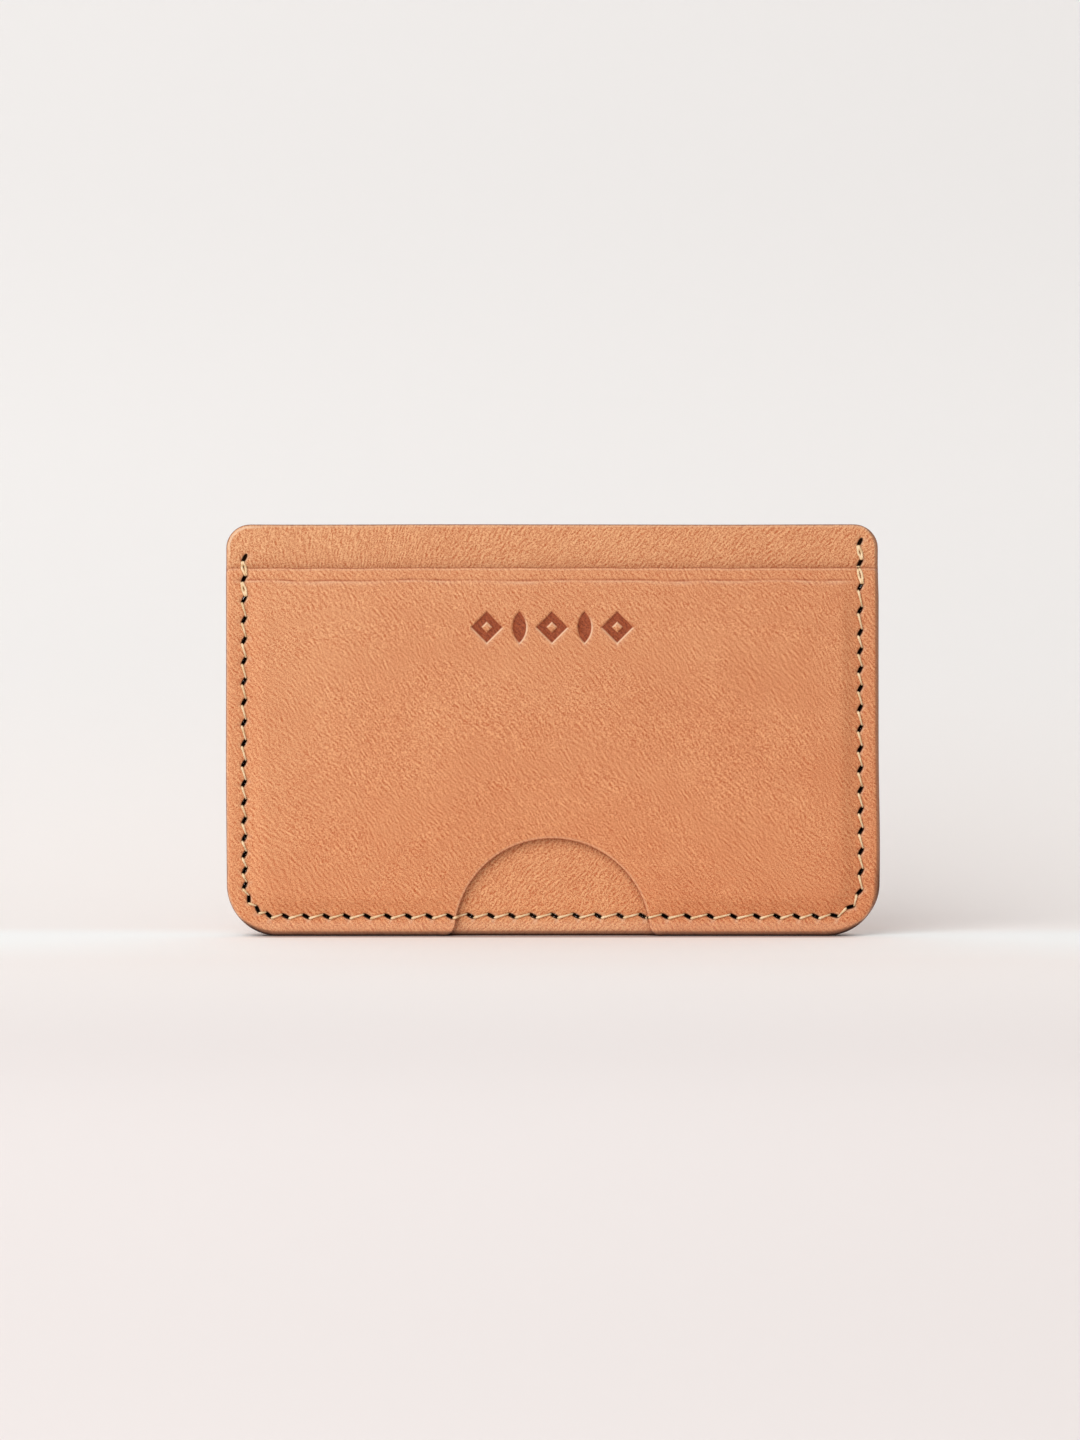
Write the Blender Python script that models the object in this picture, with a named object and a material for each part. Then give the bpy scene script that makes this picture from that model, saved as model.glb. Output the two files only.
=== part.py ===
"""Leather card holder: three panels joined by one lockstitched seam along the sides and bottom.

The holder stands on its bottom edge: width along X, height along Z, and its front faces -Y.
The origin is the middle of the bottom edge. The middle and back panels are full height. The
front panel is shorter and has a thumb notch at the bottom. Each outer panel stands off the
middle panel inside the seam, which leaves a card pocket on either side of the middle panel.
"""

import math

import bmesh
import bpy
from mathutils import Vector
from mathutils.geometry import delaunay_2d_cdt

MM = 0.001

# Outline of the panels.
WIDTH = 95.0 * MM
HEIGHT = 60.0 * MM
TOP_CORNER = 3.5 * MM
BOTTOM_CORNER = 7.5 * MM
LIP_HEIGHT = 53.6 * MM
LIP_CORNER = 0.8 * MM
NOTCH_RADIUS = 14.2 * MM
NOTCH_FLARE = 2.0 * MM

# Leather layers and the pockets between them.
LEATHER = 1.2 * MM
LAYER_GAP = 0.05 * MM
POCKET_DEPTH = 0.9 * MM
FOOT_INSET = 0.5 * MM
SHOULDER_INSET = 1.9 * MM

# Seam line, measured from the middle of the bottom edge.
SEAM_HALF_WIDTH = 44.85 * MM
SEAM_BASE = 2.9 * MM
SEAM_CORNER = 4.8 * MM
SEAM_TOP_LEFT = 55.1 * MM
SEAM_TOP_RIGHT = 57.4 * MM

# Holes: closer together in the two bottom corners and half way up the right side, a little wider
# along the bottom. Each change of pitch has its middle gap, how many gaps it takes before and
# after that, and its size there.
HOLE_COUNT = 67
PITCH = 3.02 * MM
PITCH_CHANGES = (
    (19, 10.0, 1.8, -1.14 * MM),
    (42, 13.0, 1.1, 0.43 * MM),
    (48, 6.5, 1.2, -0.43 * MM),
    (61, 4.0, 1.1, -0.50 * MM),
    (64, 5.0, 1.1, 0.48 * MM),
)
HOLE_SLANT = math.radians(28.0)
HOLE_HALF_LENGTH = 0.58 * MM
HOLE_HALF_WIDTH = 0.24 * MM

# Thread: full size between the holes and squeezed thin where two strands share a hole.
THREAD_RADIUS = 0.22 * MM
SQUEEZED_RADIUS = 0.10 * MM
THREAD_LIFT = 0.25 * MM
MOUTH_LIFT = 0.16 * MM
STITCH_REACH = 0.68 * MM
LEG_REACH = 0.36 * MM
LEG_LANE = 0.12 * MM
LOCK_DEPTH = 0.13 * MM
EDGE_CLEARANCE = 0.30 * MM
EDGE_DROP = 0.10 * MM

# How finely the shapes are worked out.
ARC_STEPS = 8
CONTOUR_OVERRUN = 2.0 * MM
MERGE_DISTANCE = 0.0001 * MM
EDGE_SEARCH_STEPS = 30

MIDDLE_FACE = LEATHER / 2
OUTER_FACE = MIDDLE_FACE + LAYER_GAP + LEATHER
FRONT = -1
BACK = 1

LEATHER_COLOR = (0.71, 0.285, 0.13, 1.0)
LEATHER_ROUGHNESS = 0.55
THREAD_COLOR = (0.72, 0.50, 0.24, 1.0)
THREAD_ROUGHNESS = 0.7


def clear_scene():
    """Remove every object of the file."""
    for item in list(bpy.data.objects):
        bpy.data.objects.remove(item, do_unlink=True)


def make_material(name, color, roughness):
    """A plain Principled BSDF material."""
    material = bpy.data.materials.new(name)
    material.use_nodes = True
    shader = material.node_tree.nodes["Principled BSDF"]
    shader.inputs["Base Color"].default_value = color
    shader.inputs["Roughness"].default_value = roughness
    shader.inputs["Metallic"].default_value = 0.0
    return material


def arc(center, radius, start, end):
    """Points along a circular arc, from the start angle to the end angle in degrees."""
    points = []
    for step in range(ARC_STEPS + 1):
        angle = math.radians(start + (end - start) * step / ARC_STEPS)
        points.append((center[0] + radius * math.cos(angle), center[1] + radius * math.sin(angle)))
    return points


def upper_outline(height, top_corner):
    """The right side, top and left side of a panel, from bottom right to bottom left."""
    half = WIDTH / 2
    low = BOTTOM_CORNER
    high = height - top_corner
    return (
        arc((half - BOTTOM_CORNER, low), BOTTOM_CORNER, -90, 0)
        + arc((half - top_corner, high), top_corner, 0, 90)
        + arc((top_corner - half, high), top_corner, 90, 180)
        + arc((BOTTOM_CORNER - half, low), BOTTOM_CORNER, 180, 270)
    )


def notch_outline():
    """The thumb notch from left to right: a half circle whose two ends flare outwards."""
    reach = NOTCH_RADIUS + NOTCH_FLARE
    flare_x = math.sqrt(reach ** 2 - NOTCH_FLARE ** 2)
    tilt = math.degrees(math.asin(NOTCH_FLARE / reach))
    left_flare = arc((-flare_x, NOTCH_FLARE), NOTCH_FLARE, -90, -tilt)
    left_half = arc((0.0, 0.0), NOTCH_RADIUS, 180 - tilt, 90)
    right_half = arc((0.0, 0.0), NOTCH_RADIUS, 90, tilt)
    right_flare = arc((flare_x, NOTCH_FLARE), NOTCH_FLARE, 180 + tilt, 270)
    return left_flare[:-1] + left_half + right_half[1:] + right_flare[1:]


def seam_line(distance):
    """Place and heading on the seam line, at a distance from its top left end."""
    left_run = SEAM_TOP_LEFT - SEAM_BASE - SEAM_CORNER
    bottom_run = 2 * (SEAM_HALF_WIDTH - SEAM_CORNER)
    corner_run = SEAM_CORNER * math.pi / 2
    corner_x = SEAM_HALF_WIDTH - SEAM_CORNER
    corner_z = SEAM_BASE + SEAM_CORNER
    if distance < left_run:
        return (-SEAM_HALF_WIDTH, SEAM_TOP_LEFT - distance), -math.pi / 2
    distance -= left_run
    if distance < corner_run:
        return seam_corner(-corner_x, corner_z, distance / SEAM_CORNER - math.pi / 2)
    distance -= corner_run
    if distance < bottom_run:
        return (distance - corner_x, SEAM_BASE), 0.0
    distance -= bottom_run
    if distance < corner_run:
        return seam_corner(corner_x, corner_z, distance / SEAM_CORNER)
    return (SEAM_HALF_WIDTH, corner_z + distance - corner_run), math.pi / 2


def seam_corner(center_x, center_z, heading):
    """Place and heading on a rounded corner of the seam line."""
    place = (center_x + SEAM_CORNER * math.sin(heading), center_z - SEAM_CORNER * math.cos(heading))
    return place, heading


def seam_length():
    """Length of the seam line from its top left end to its top right end."""
    straight = SEAM_TOP_LEFT + SEAM_TOP_RIGHT - 2 * (SEAM_BASE + SEAM_CORNER)
    straight += 2 * (SEAM_HALF_WIDTH - SEAM_CORNER)
    return straight + math.pi * SEAM_CORNER


def hole_gaps():
    """Distances between neighbouring holes, scaled so that they fill the seam line."""
    gaps = []
    for number in range(HOLE_COUNT - 1):
        gap = PITCH
        for middle, before, after, change in PITCH_CHANGES:
            reach = before if number < middle else after
            gap += change * max(0.0, 1 - abs(number - middle) / reach)
        gaps.append(gap)
    scale = seam_length() / sum(gaps)
    return [gap * scale for gap in gaps]


def stitch_holes():
    """Centre, slanted direction and sideways direction of each hole, in sewing order."""
    holes = []
    distance = 0.0
    for gap in hole_gaps() + [0.0]:
        (x, z), heading = seam_line(distance)
        slanted = heading - HOLE_SLANT
        along = Vector((math.cos(slanted), 0.0, math.sin(slanted)))
        across = Vector((-along.z, 0.0, along.x))
        holes.append((Vector((x, 0.0, z)), along, across))
        distance += gap
    return holes


def hole_outline(hole):
    """The four corners of a slanted awl hole."""
    center, along, across = hole
    corners = []
    for end, side in ((-1, -1), (1, -1), (1, 1), (-1, 1)):
        corner = center + along * (end * HOLE_HALF_LENGTH) + across * (side * HOLE_HALF_WIDTH)
        corners.append((corner.x, corner.z))
    return corners


def seam_inset(x, z):
    """Distance of a place inwards from the seam line, which is open at the top."""
    from_side = SEAM_HALF_WIDTH - abs(x)
    from_base = z - SEAM_BASE
    if from_side < SEAM_CORNER and from_base < SEAM_CORNER:
        return SEAM_CORNER - math.hypot(SEAM_CORNER - from_side, SEAM_CORNER - from_base)
    return min(from_side, from_base)


def stand_off(x, z):
    """How far an outer panel stands off its stitched margin to make room for cards."""
    rise = (seam_inset(x, z) - FOOT_INSET) / (SHOULDER_INSET - FOOT_INSET)
    return POCKET_DEPTH * min(1.0, max(0.0, rise))


def inset_contour(inset):
    """A line at one distance inwards from the seam line, run on past the top of the panels."""
    half = SEAM_HALF_WIDTH - inset
    base = SEAM_BASE + inset
    radius = SEAM_CORNER - inset
    top = HEIGHT + CONTOUR_OVERRUN
    return (
        [(-half, top)]
        + arc((radius - half, base + radius), radius, 180, 270)
        + arc((half - radius, base + radius), radius, 270, 360)
        + [(half, top)]
    )


def under_front_panel(x, z, clearance=0.0):
    """True where the front panel covers a place, or is within the clearance of it."""
    below_lip = z < LIP_HEIGHT + clearance
    beside_notch = math.hypot(x, z) > NOTCH_RADIUS - clearance
    return below_lip and beside_notch


def triangulate(outline, hole_outlines, contours):
    """Triangles of a flat sheet with holes, with mesh edges along the contours."""
    points = []
    faces = []
    edges = []
    for loop in [outline] + hole_outlines:
        faces.append(list(range(len(points), len(points) + len(loop))))
        points.extend(loop)
    for line in contours:
        first = len(points)
        points.extend(line)
        edges.extend((first + step, first + step + 1) for step in range(len(line) - 1))
    vectors = [Vector(point) for point in points]
    all_triangles = 0
    result = delaunay_2d_cdt(vectors, edges, faces, all_triangles, MERGE_DISTANCE)
    places, _, triangles, _, _, sources = result
    return places, [triangle for triangle, source in zip(triangles, sources) if source == [0]]


def make_panel(name, outline, holes, contours, side, face, root):
    """One leather panel: a sheet whose grain side faces forwards or backwards, made solid."""
    places, triangles = triangulate(outline, [hole_outline(hole) for hole in holes], contours)
    sheet = bmesh.new()
    corners = [sheet.verts.new(sheet_point(place, side, bool(contours))) for place in places]
    for triangle in triangles:
        order = triangle if side == FRONT else reversed(triangle)
        sheet.faces.new([corners[corner] for corner in order])
    loose = [corner for corner in sheet.verts if not corner.link_faces]
    bmesh.ops.delete(sheet, geom=loose, context="VERTS")
    mesh = bpy.data.meshes.new(name)
    sheet.to_mesh(mesh)
    sheet.free()
    mesh.materials.append(make_material(name, LEATHER_COLOR, LEATHER_ROUGHNESS))

    panel = bpy.data.objects.new(name, mesh)
    panel.location = (0.0, side * face, 0.0)
    panel.parent = root
    solidify = panel.modifiers.new("Leather", "SOLIDIFY")
    solidify.thickness = LEATHER
    solidify.offset = -1.0
    solidify.use_even_offset = True
    bpy.context.collection.objects.link(panel)


def sheet_point(place, side, domed):
    """A point of a panel's grain side, measured from the panel's own face level."""
    lift = stand_off(place.x, place.y) if domed else 0.0
    return (place.x, side * lift, place.y)


def face_level(point, side):
    """Distance from the middle plane to the leather that a thread lies on."""
    if side == BACK or under_front_panel(point.x, point.z, EDGE_CLEARANCE):
        return OUTER_FACE
    return MIDDLE_FACE


def half_stitch(hole, side, direction):
    """Path from the leather's face into a hole, or out of it when the direction is 1."""
    center, along, across = hole
    surface = center + along * (direction * STITCH_REACH)
    leg = center + along * (direction * LEG_REACH) + across * (direction * side * LEG_LANE)
    level = face_level(surface, side)
    path = [
        (surface + Vector((0.0, side * (level + THREAD_LIFT), 0.0)), THREAD_RADIUS),
        (leg + Vector((0.0, side * (level + MOUTH_LIFT), 0.0)), SQUEEZED_RADIUS),
        (leg + Vector((0.0, -side * LOCK_DEPTH, 0.0)), SQUEEZED_RADIUS),
    ]
    return path if direction < 0 else path[::-1]


def edge_step(start, end):
    """Path points where a stitch climbs over, or drops off, the front panel's edge."""
    low, high = (start, end) if start.y > end.y else (end, start)
    uncovered, covered = 0.0, 1.0
    for _ in range(EDGE_SEARCH_STEPS):
        middle = (uncovered + covered) / 2
        place = low.lerp(high, middle)
        if under_front_panel(place.x, place.z):
            covered = middle
        else:
            uncovered = middle
    ground = Vector((high.x - low.x, 0.0, high.z - low.z))
    edge = low + ground * covered
    back_off = ground.normalized() * EDGE_CLEARANCE
    foot = edge - back_off - ground.normalized() * EDGE_DROP
    top = edge - back_off
    top.y = high.y
    steps = [(foot, THREAD_RADIUS), (top, THREAD_RADIUS)]
    return steps if low is start else steps[::-1]


def thread_path(holes, side):
    """The whole path of one thread, which locks with the other thread inside each hole."""
    path = half_stitch(holes[0], side, 1)
    for hole in holes[1:]:
        way_in = half_stitch(hole, side, -1)
        start, end = path[-1][0], way_in[0][0]
        if not math.isclose(start.y, end.y, abs_tol=LAYER_GAP):
            path.extend(edge_step(start, end))
        path.extend(way_in)
        if hole is not holes[-1]:
            path.extend(half_stitch(hole, side, 1))
    return path


def make_thread(name, holes, side, root):
    """One thread of the lockstitch as a thin tube along its path."""
    path = thread_path(holes, side)
    curve = bpy.data.curves.new(name, "CURVE")
    curve.dimensions = "3D"
    curve.bevel_depth = THREAD_RADIUS
    curve.bevel_resolution = 0
    curve.use_fill_caps = True
    spline = curve.splines.new("POLY")
    spline.points.add(len(path) - 1)
    for point, (place, radius) in zip(spline.points, path):
        point.co = (place.x, place.y, place.z, 1.0)
        point.radius = radius / THREAD_RADIUS
    curve.materials.append(make_material(name, THREAD_COLOR, THREAD_ROUGHNESS))
    thread = bpy.data.objects.new(name, curve)
    thread.parent = root
    bpy.context.collection.objects.link(thread)


def build():
    """Make the whole card holder."""
    clear_scene()
    root = bpy.data.objects.new("card_holder", None)
    bpy.context.collection.objects.link(root)

    holes = stitch_holes()
    front_holes = [hole for hole in holes if under_front_panel(hole[0].x, hole[0].z)]
    full_outline = upper_outline(HEIGHT, TOP_CORNER)
    front_outline = upper_outline(LIP_HEIGHT, LIP_CORNER) + notch_outline()
    shoulders = [inset_contour(FOOT_INSET), inset_contour(SHOULDER_INSET)]

    make_panel("front_panel", front_outline, front_holes, shoulders, FRONT, OUTER_FACE, root)
    make_panel("middle_panel", full_outline, holes, [], FRONT, MIDDLE_FACE, root)
    make_panel("back_panel", full_outline, holes, shoulders, BACK, OUTER_FACE, root)
    make_thread("front_thread", holes, FRONT, root)
    make_thread("back_thread", holes, BACK, root)


build()
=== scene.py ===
"""Looks of the leather card holder: three stitched panels, their thread, and a pale studio.

All shapes are worked out in millimetres, in the frame's own axes, and become metres in add_mesh.
"""

import math
import random

import bmesh
import bpy
import numpy as np
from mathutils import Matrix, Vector, kdtree
from mathutils.geometry import delaunay_2d_cdt


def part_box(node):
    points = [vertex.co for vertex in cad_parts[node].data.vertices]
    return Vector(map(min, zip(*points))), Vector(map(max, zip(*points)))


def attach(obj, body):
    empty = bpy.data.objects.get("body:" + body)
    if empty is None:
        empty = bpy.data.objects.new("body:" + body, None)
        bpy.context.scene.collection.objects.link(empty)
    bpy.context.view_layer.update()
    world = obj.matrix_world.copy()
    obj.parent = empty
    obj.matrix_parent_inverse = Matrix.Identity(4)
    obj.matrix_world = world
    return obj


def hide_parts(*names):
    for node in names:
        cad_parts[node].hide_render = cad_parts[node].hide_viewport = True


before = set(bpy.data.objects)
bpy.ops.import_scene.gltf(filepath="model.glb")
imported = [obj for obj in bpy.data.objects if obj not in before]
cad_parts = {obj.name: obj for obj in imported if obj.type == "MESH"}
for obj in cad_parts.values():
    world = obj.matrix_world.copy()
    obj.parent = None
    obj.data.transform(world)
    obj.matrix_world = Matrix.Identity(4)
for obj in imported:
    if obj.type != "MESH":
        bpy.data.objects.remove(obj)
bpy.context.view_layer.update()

MM = 0.001
FRONT = -1
BACK = 1


def box_mm(node):
    """Lowest and highest corner of a CAD node, in millimetres."""
    low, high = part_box(node)
    return np.array(low) / MM, np.array(high) / MM


# Sizes that the frame fixes.
middle_low, middle_high = box_mm("middle_panel")
front_high = box_mm("front_panel")[1]
back_low, back_high = box_mm("back_panel")
WIDTH = middle_high[0] - middle_low[0]
HEIGHT = middle_high[2]
LIP_HEIGHT = front_high[2]
MIDDLE_FACE = middle_high[1]
LEATHER = middle_high[1] - middle_low[1]
INNER_FACE = back_low[1]
OUTER_FACE = INNER_FACE + LEATHER
POCKET_DEPTH = back_high[1] - OUTER_FACE

# Outlines.
TOP_CORNER = 3.5
BOTTOM_CORNER = 7.5
LIP_CORNER = 0.8
NOTCH_RADIUS = 14.2
NOTCH_FLARE = 2.0

# Seam line and holes. A change of pitch has its middle hole, its reach in holes before and after
# the middle, and its size.
SEAM_HALF_WIDTH = 44.85
SEAM_BASE = 2.9
SEAM_CORNER = 4.8
SEAM_TOP_LEFT = 55.1
SEAM_TOP_RIGHT = 57.4
HOLE_COUNT = 67
PITCH = 3.02
PITCH_CHANGES = (
    (19, 10.0, 1.8, -1.14),
    (42, 13.0, 1.1, 0.43),
    (48, 6.5, 1.2, -0.43),
    (61, 4.0, 1.1, -0.50),
    (64, 5.0, 1.1, 0.48),
)
HOLE_SLANT = math.radians(28.0)
HOLE_LENGTH = 0.70
HOLE_WIDTH = 0.27
HOLE_TAPER = 0.07
HOLE_BLUNTNESS = 1.1

# Thread.
THREAD_RADIUS = 0.17
SQUEEZED_RADIUS = 0.10
LOCK_RADIUS = 0.16
LOCK_DEPTH = 0.17
THREAD_LIFT = 0.04
LEG_REACH = 0.60
LEG_LANE = 0.12
LEG_TOP = 0.35
STRAND_GAP = 0.12
STRAND_BULGE = 0.13
STITCH_SHOULDER = 0.85
KNOT_REACH = 0.85
KNOT_SIZE = 1.3
KNOT_HALF_WIDTH = 0.08
PLIES = 3
PLY_RELIEF = 0.20
TWIST_LENGTH = 1.0

# Ends of a stitch: distance from the hole's leg, height over the leather, share of the thread's radius.
EVEN_END = ((0.02, 0.02, 0.8), (0.20, 0.13, 1.05), (0.42, 0.09, 1.1))
PLUMP_END = ((0.02, 0.03, 0.80), (0.20, 0.13, 1.10), (0.50, 0.09, 1.02))
THIN_END = ((0.02, 0.00, 0.66), (0.25, 0.03, 0.70), (0.50, 0.03, 0.72))
SINGLE_SHARE = 0.86

# Step up to the front panel: distance past its edge, shares of the lower and of the upper level.
STEP_UP = ((-0.34, 1.0, 0.0), (-0.22, 0.5, 0.5), (-0.10, 0.0, 1.01), (0.20, 0.0, 1.02))

# Painted shade on the thread: how deep it lies in a hole, and how thin it is.
SUNK_DEPTHS = (0.02, 0.30)
THIN_SHARES = (0.92, 0.66)
THIN_SHADE = 0.25

# Relief of the leather. The crease wanders in waves with a height, a period over 2 pi and a phase.
EDGE_ROUND = 0.90
BARE_ROUND = 0.50
CUT_ROUND = 0.30
HIDDEN_ROUND = 0.10
FOOT_INSET = 0.35
SHOULDER_INSET = 3.0
CROWN_SHARE = 0.12
CROWN_REACH = 9.0
MOUTH_SETTLE = 0.9
MOUTH_REACH = 5.0
CREASE_HEIGHT = 51.88
CREASE_DEPTH = 0.08
CREASE_WIDTH = 0.11
CREASE_WANDER = ((0.05, 4.1, 0.0), (0.04, 1.7, 1.0))
CREASE_UNEVENNESS = 0.28
CREASE_OUTSIDE_SEAM = 0.5
RIDGE_SHARE = 0.4
RIDGE_SHIFT = (0.0, 0.26)
MARK_HEIGHT = 45.1
MARK_DEPTH = 0.30
MARK_WALL = 0.09
MARK_RIM = 0.30
OVERHANG = 0.11
LIP_RISE = 0.12

# Slow waves: height, wavelength, seed.
BROAD_WAVES = (0.05, 17.0, 3)
FINE_WAVES = (0.020, 4.5, 5)
RIM_WAVES = (0.05, 2.2, 11)
SIDE_WAVES = (0.07, 31.0, 41)
TOP_WAVES = (0.07, 27.0, 42)
LIP_WAVES = (0.07, 8.0, 43)
WAVE_COUNT = 6
WAVE_STRETCH = (0.7, 1.4)

# Bands: strength, middle, spread.
HOLE_PULL = (0.20, 0.0, 0.22)
STITCH_PULL = (0.13, 0.0, 0.30)
MARGIN_PULL = (0.05, 0.0, 0.9)
SIDE_BULGE = (0.26, 13.0, 10.0)
MARK_RIM_LIFT = (0.04, MARK_RIM, 0.11)
WORN_SPOT = (1.0, 7.5, 3.0)
# Painted highlights: a pale line on the bevel of every edge, a brighter one round the top left corner,
# on the rim of each hole and on the walls of the mark that face the light.
EDGE_HIGHLIGHT = (0.30, 0.24, 0.10)
CORNER_HIGHLIGHT = (0.9, 0.36, 0.13)
HOLE_GLEAM_BAND = (1.0, 0.15, 0.08)
WALL_GLEAM = (1.0, 1.5 * MARK_WALL, 0.12)

# Fades: where something starts and where it is full, in the measure that its use names.
CRISP_LIP = (LIP_HEIGHT - 2.5, LIP_HEIGHT - 1.0)
CRISP_LIP_ENDS = (0.8, 3.0)
CRISP_NOTCH = (NOTCH_RADIUS + 2.6, NOTCH_RADIUS + 1.4)
BARE_TOP = (LIP_HEIGHT - 0.5, LIP_HEIGHT + 0.5)
BARE_NOTCH = (NOTCH_RADIUS + 1.0, NOTCH_RADIUS - 0.5)
BROAD_FADE = (0.5, 6.0)
FINE_FADE = (0.2, 1.5)
BULGE_SIDE = (39.0, 47.5)
TOP_WAVES_FADE = (0.0, 12.0)
OVERHANG_HEIGHTS = (LIP_HEIGHT - 0.5, LIP_HEIGHT - 5.0)
OVERHANG_SIDE = (46.0, 47.5)
LIP_RISE_FADE = (LIP_HEIGHT - 4.0, LIP_HEIGHT)
CREASE_LEFT = (-47.2, -46.0)
CREASE_RIGHT = (46.4, 42.0)
WALL_TO_LIGHT = (-0.2, 0.6)
RIGHT_SIDE = (45.5, 47.2)
FOOT = (3.0, 0.6)
DARK_EDGE_ZONE = (0.50, 0.14)
DARK_CUT_EDGE = (0.11, 0.04)
PALER_FOOT = (2.4, 1.8)
LEFT_END = (-41.0, -45.0)
TOP_END = (54.0, 57.5)
HOLE_SHADE_ZONE = (0.10, -0.02)

# Looks of the edges: widths and fades of the edge burnishing, wider on the right and at the foot as
# painted shade, and strengths from 0 to 1.
EVEN_WIDTH, RIGHT_WIDTH, FOOT_WIDTH, WORN_WIDTH = 0.03, 0.30, 0.50, 0.25
EVEN_FADE, RIGHT_FADE, FOOT_FADE = 0.14, 0.22, 0.36
RIGHT_PALENESS = 0.25
WORN_BURN = 0.7
# Darkened cut edges: edge dye, and painted crevice shade along the lip.
EDGE_DYE_AND_SHADE = 0.9
CREASE_PRESS = 0.85
# The foot is made paler and smoother.
FOOT_PALING = 0.14
HOLE_GLEAM = 0.3
HOLE_GLEAM_SLOPE = 0.5
HOLE_GLEAM_MARGIN = 0.1
# Painted shade that the front panel's edge casts on the middle panel.
LIP_SHADE = 0.22
LIP_SHADE_REACH = 0.25

# Directions on the face: the way the light falls across it, and towards its lower right.
LIGHT = (0.5, -0.85)
LOWER_RIGHT = (0.7, -0.7)

# Mesh spacing.
OUTLINE_STEP = 0.40
LEAST_ARC_STEPS = 4
GRAIN_STEP = 0.55
FLESH_STEP = 2.5
ROW_STEP = 0.87
JITTER = 0.22
GRAIN_SEED = 21
FLESH_SEED = 22
EDGE_RINGS = (0.05, 0.13, 0.25, 0.42, 0.62, 0.85)
HOLE_RINGS = (0.07, 0.17, 0.32)
HOLE_SIDES = 14
STITCH_ROWS = (-0.75, -0.45, -0.22, 0.0, 0.22, 0.45, 0.75)
STITCH_ROW_POINTS = 7
CREASE_ROWS = (-0.36, -0.26, -0.16, -0.08, 0.0, 0.08, 0.16, 0.30)
CREASE_ROW_STEP = 0.45
CREASE_ROW_MARGIN = 0.5
GRAIN_HOLE_MARGIN = 0.03
FLESH_HOLE_MARGIN = 0.2
THREAD_SIDES = 15
THREAD_SPACING = 0.11
ROUNDING_PASSES = 2
CORNER_CUT = 0.25
EDGE_SEARCH_STEPS = 200
SHARP_ANGLE = math.radians(62)
TINY = 1e-6

# Smallest distance of each kind of point from those already there.
EDGE_RING_GAP = 0.04
HOLE_RING_GAP = 0.05
STITCH_ROW_GAP = 0.14
CREASE_ROW_GAP = 0.07
MARK_GAP = 0.10
GRAIN_GAP = 0.30
FLESH_GAP = 1.2


def smoothstep(low, high, value):
    """Rises smoothly from 0 at low to 1 at high. High may be the smaller one."""
    share = np.clip((value - low) / (high - low), 0.0, 1.0)
    return share * share * (3 - 2 * share)


def band(distance, strength, middle, spread):
    """A bell of a strength round a middle distance."""
    return strength * np.exp(-((distance - middle) / spread) ** 2)


def ripple(points, height, wavelength, seed):
    """Gentle unevenness up to a height: a few sine waves in seeded directions."""
    draw = random.Random(seed)
    total = np.zeros(len(points))
    for _ in range(WAVE_COUNT):
        angle = draw.uniform(0, math.tau)
        stretch = draw.uniform(*WAVE_STRETCH) * math.tau / wavelength
        along = points[:, 0] * math.cos(angle) + points[:, 1] * math.sin(angle)
        total += np.sin(along * stretch + draw.uniform(0, math.tau))
    return height * (total / WAVE_COUNT)


# === Seam ===


def seam_line(distance):
    """Place and heading on the seam line, at a distance from its top left end."""
    corner_x = SEAM_HALF_WIDTH - SEAM_CORNER
    corner_z = SEAM_BASE + SEAM_CORNER
    left_run = SEAM_TOP_LEFT - corner_z
    corner_run = SEAM_CORNER * math.pi / 2
    if distance < left_run:
        return (-SEAM_HALF_WIDTH, SEAM_TOP_LEFT - distance), -math.pi / 2
    distance -= left_run
    if distance < corner_run:
        heading = distance / SEAM_CORNER - math.pi / 2
        return seam_corner(-corner_x, corner_z, heading), heading
    distance -= corner_run
    if distance < 2 * corner_x:
        return (distance - corner_x, SEAM_BASE), 0.0
    distance -= 2 * corner_x
    if distance < corner_run:
        heading = distance / SEAM_CORNER
        return seam_corner(corner_x, corner_z, heading), heading
    return (SEAM_HALF_WIDTH, corner_z + distance - corner_run), math.pi / 2


def seam_corner(center_x, center_z, heading):
    """Place on a rounded corner of the seam line."""
    return center_x + SEAM_CORNER * math.sin(heading), center_z - SEAM_CORNER * math.cos(heading)


def hole_gaps():
    """Distances between neighbouring holes, scaled so that they fill the seam line."""
    straight = SEAM_TOP_LEFT + SEAM_TOP_RIGHT - 2 * (SEAM_BASE + SEAM_CORNER)
    straight += 2 * (SEAM_HALF_WIDTH - SEAM_CORNER)
    gaps = []
    for number in range(HOLE_COUNT - 1):
        gap = PITCH
        for middle, before, after, change in PITCH_CHANGES:
            reach = before if number < middle else after
            gap += change * max(0.0, 1 - abs(number - middle) / reach)
        gaps.append(gap)
    scale = (straight + math.pi * SEAM_CORNER) / sum(gaps)
    return [gap * scale for gap in gaps]


def stitch_holes():
    """Centre, slanted direction and sideways direction of each hole, in sewing order."""
    holes = []
    distance = 0.0
    for gap in hole_gaps() + [0.0]:
        place, heading = seam_line(distance)
        slanted = heading - HOLE_SLANT
        along = np.array((math.cos(slanted), math.sin(slanted)))
        holes.append((np.array(place), along, np.array((-along[1], along[0]))))
        distance += gap
    return holes


HOLES = stitch_holes()


def under_front_panel(place):
    """True where the front panel covers a place."""
    return place[1] < LIP_HEIGHT and math.hypot(*place) > NOTCH_RADIUS


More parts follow.
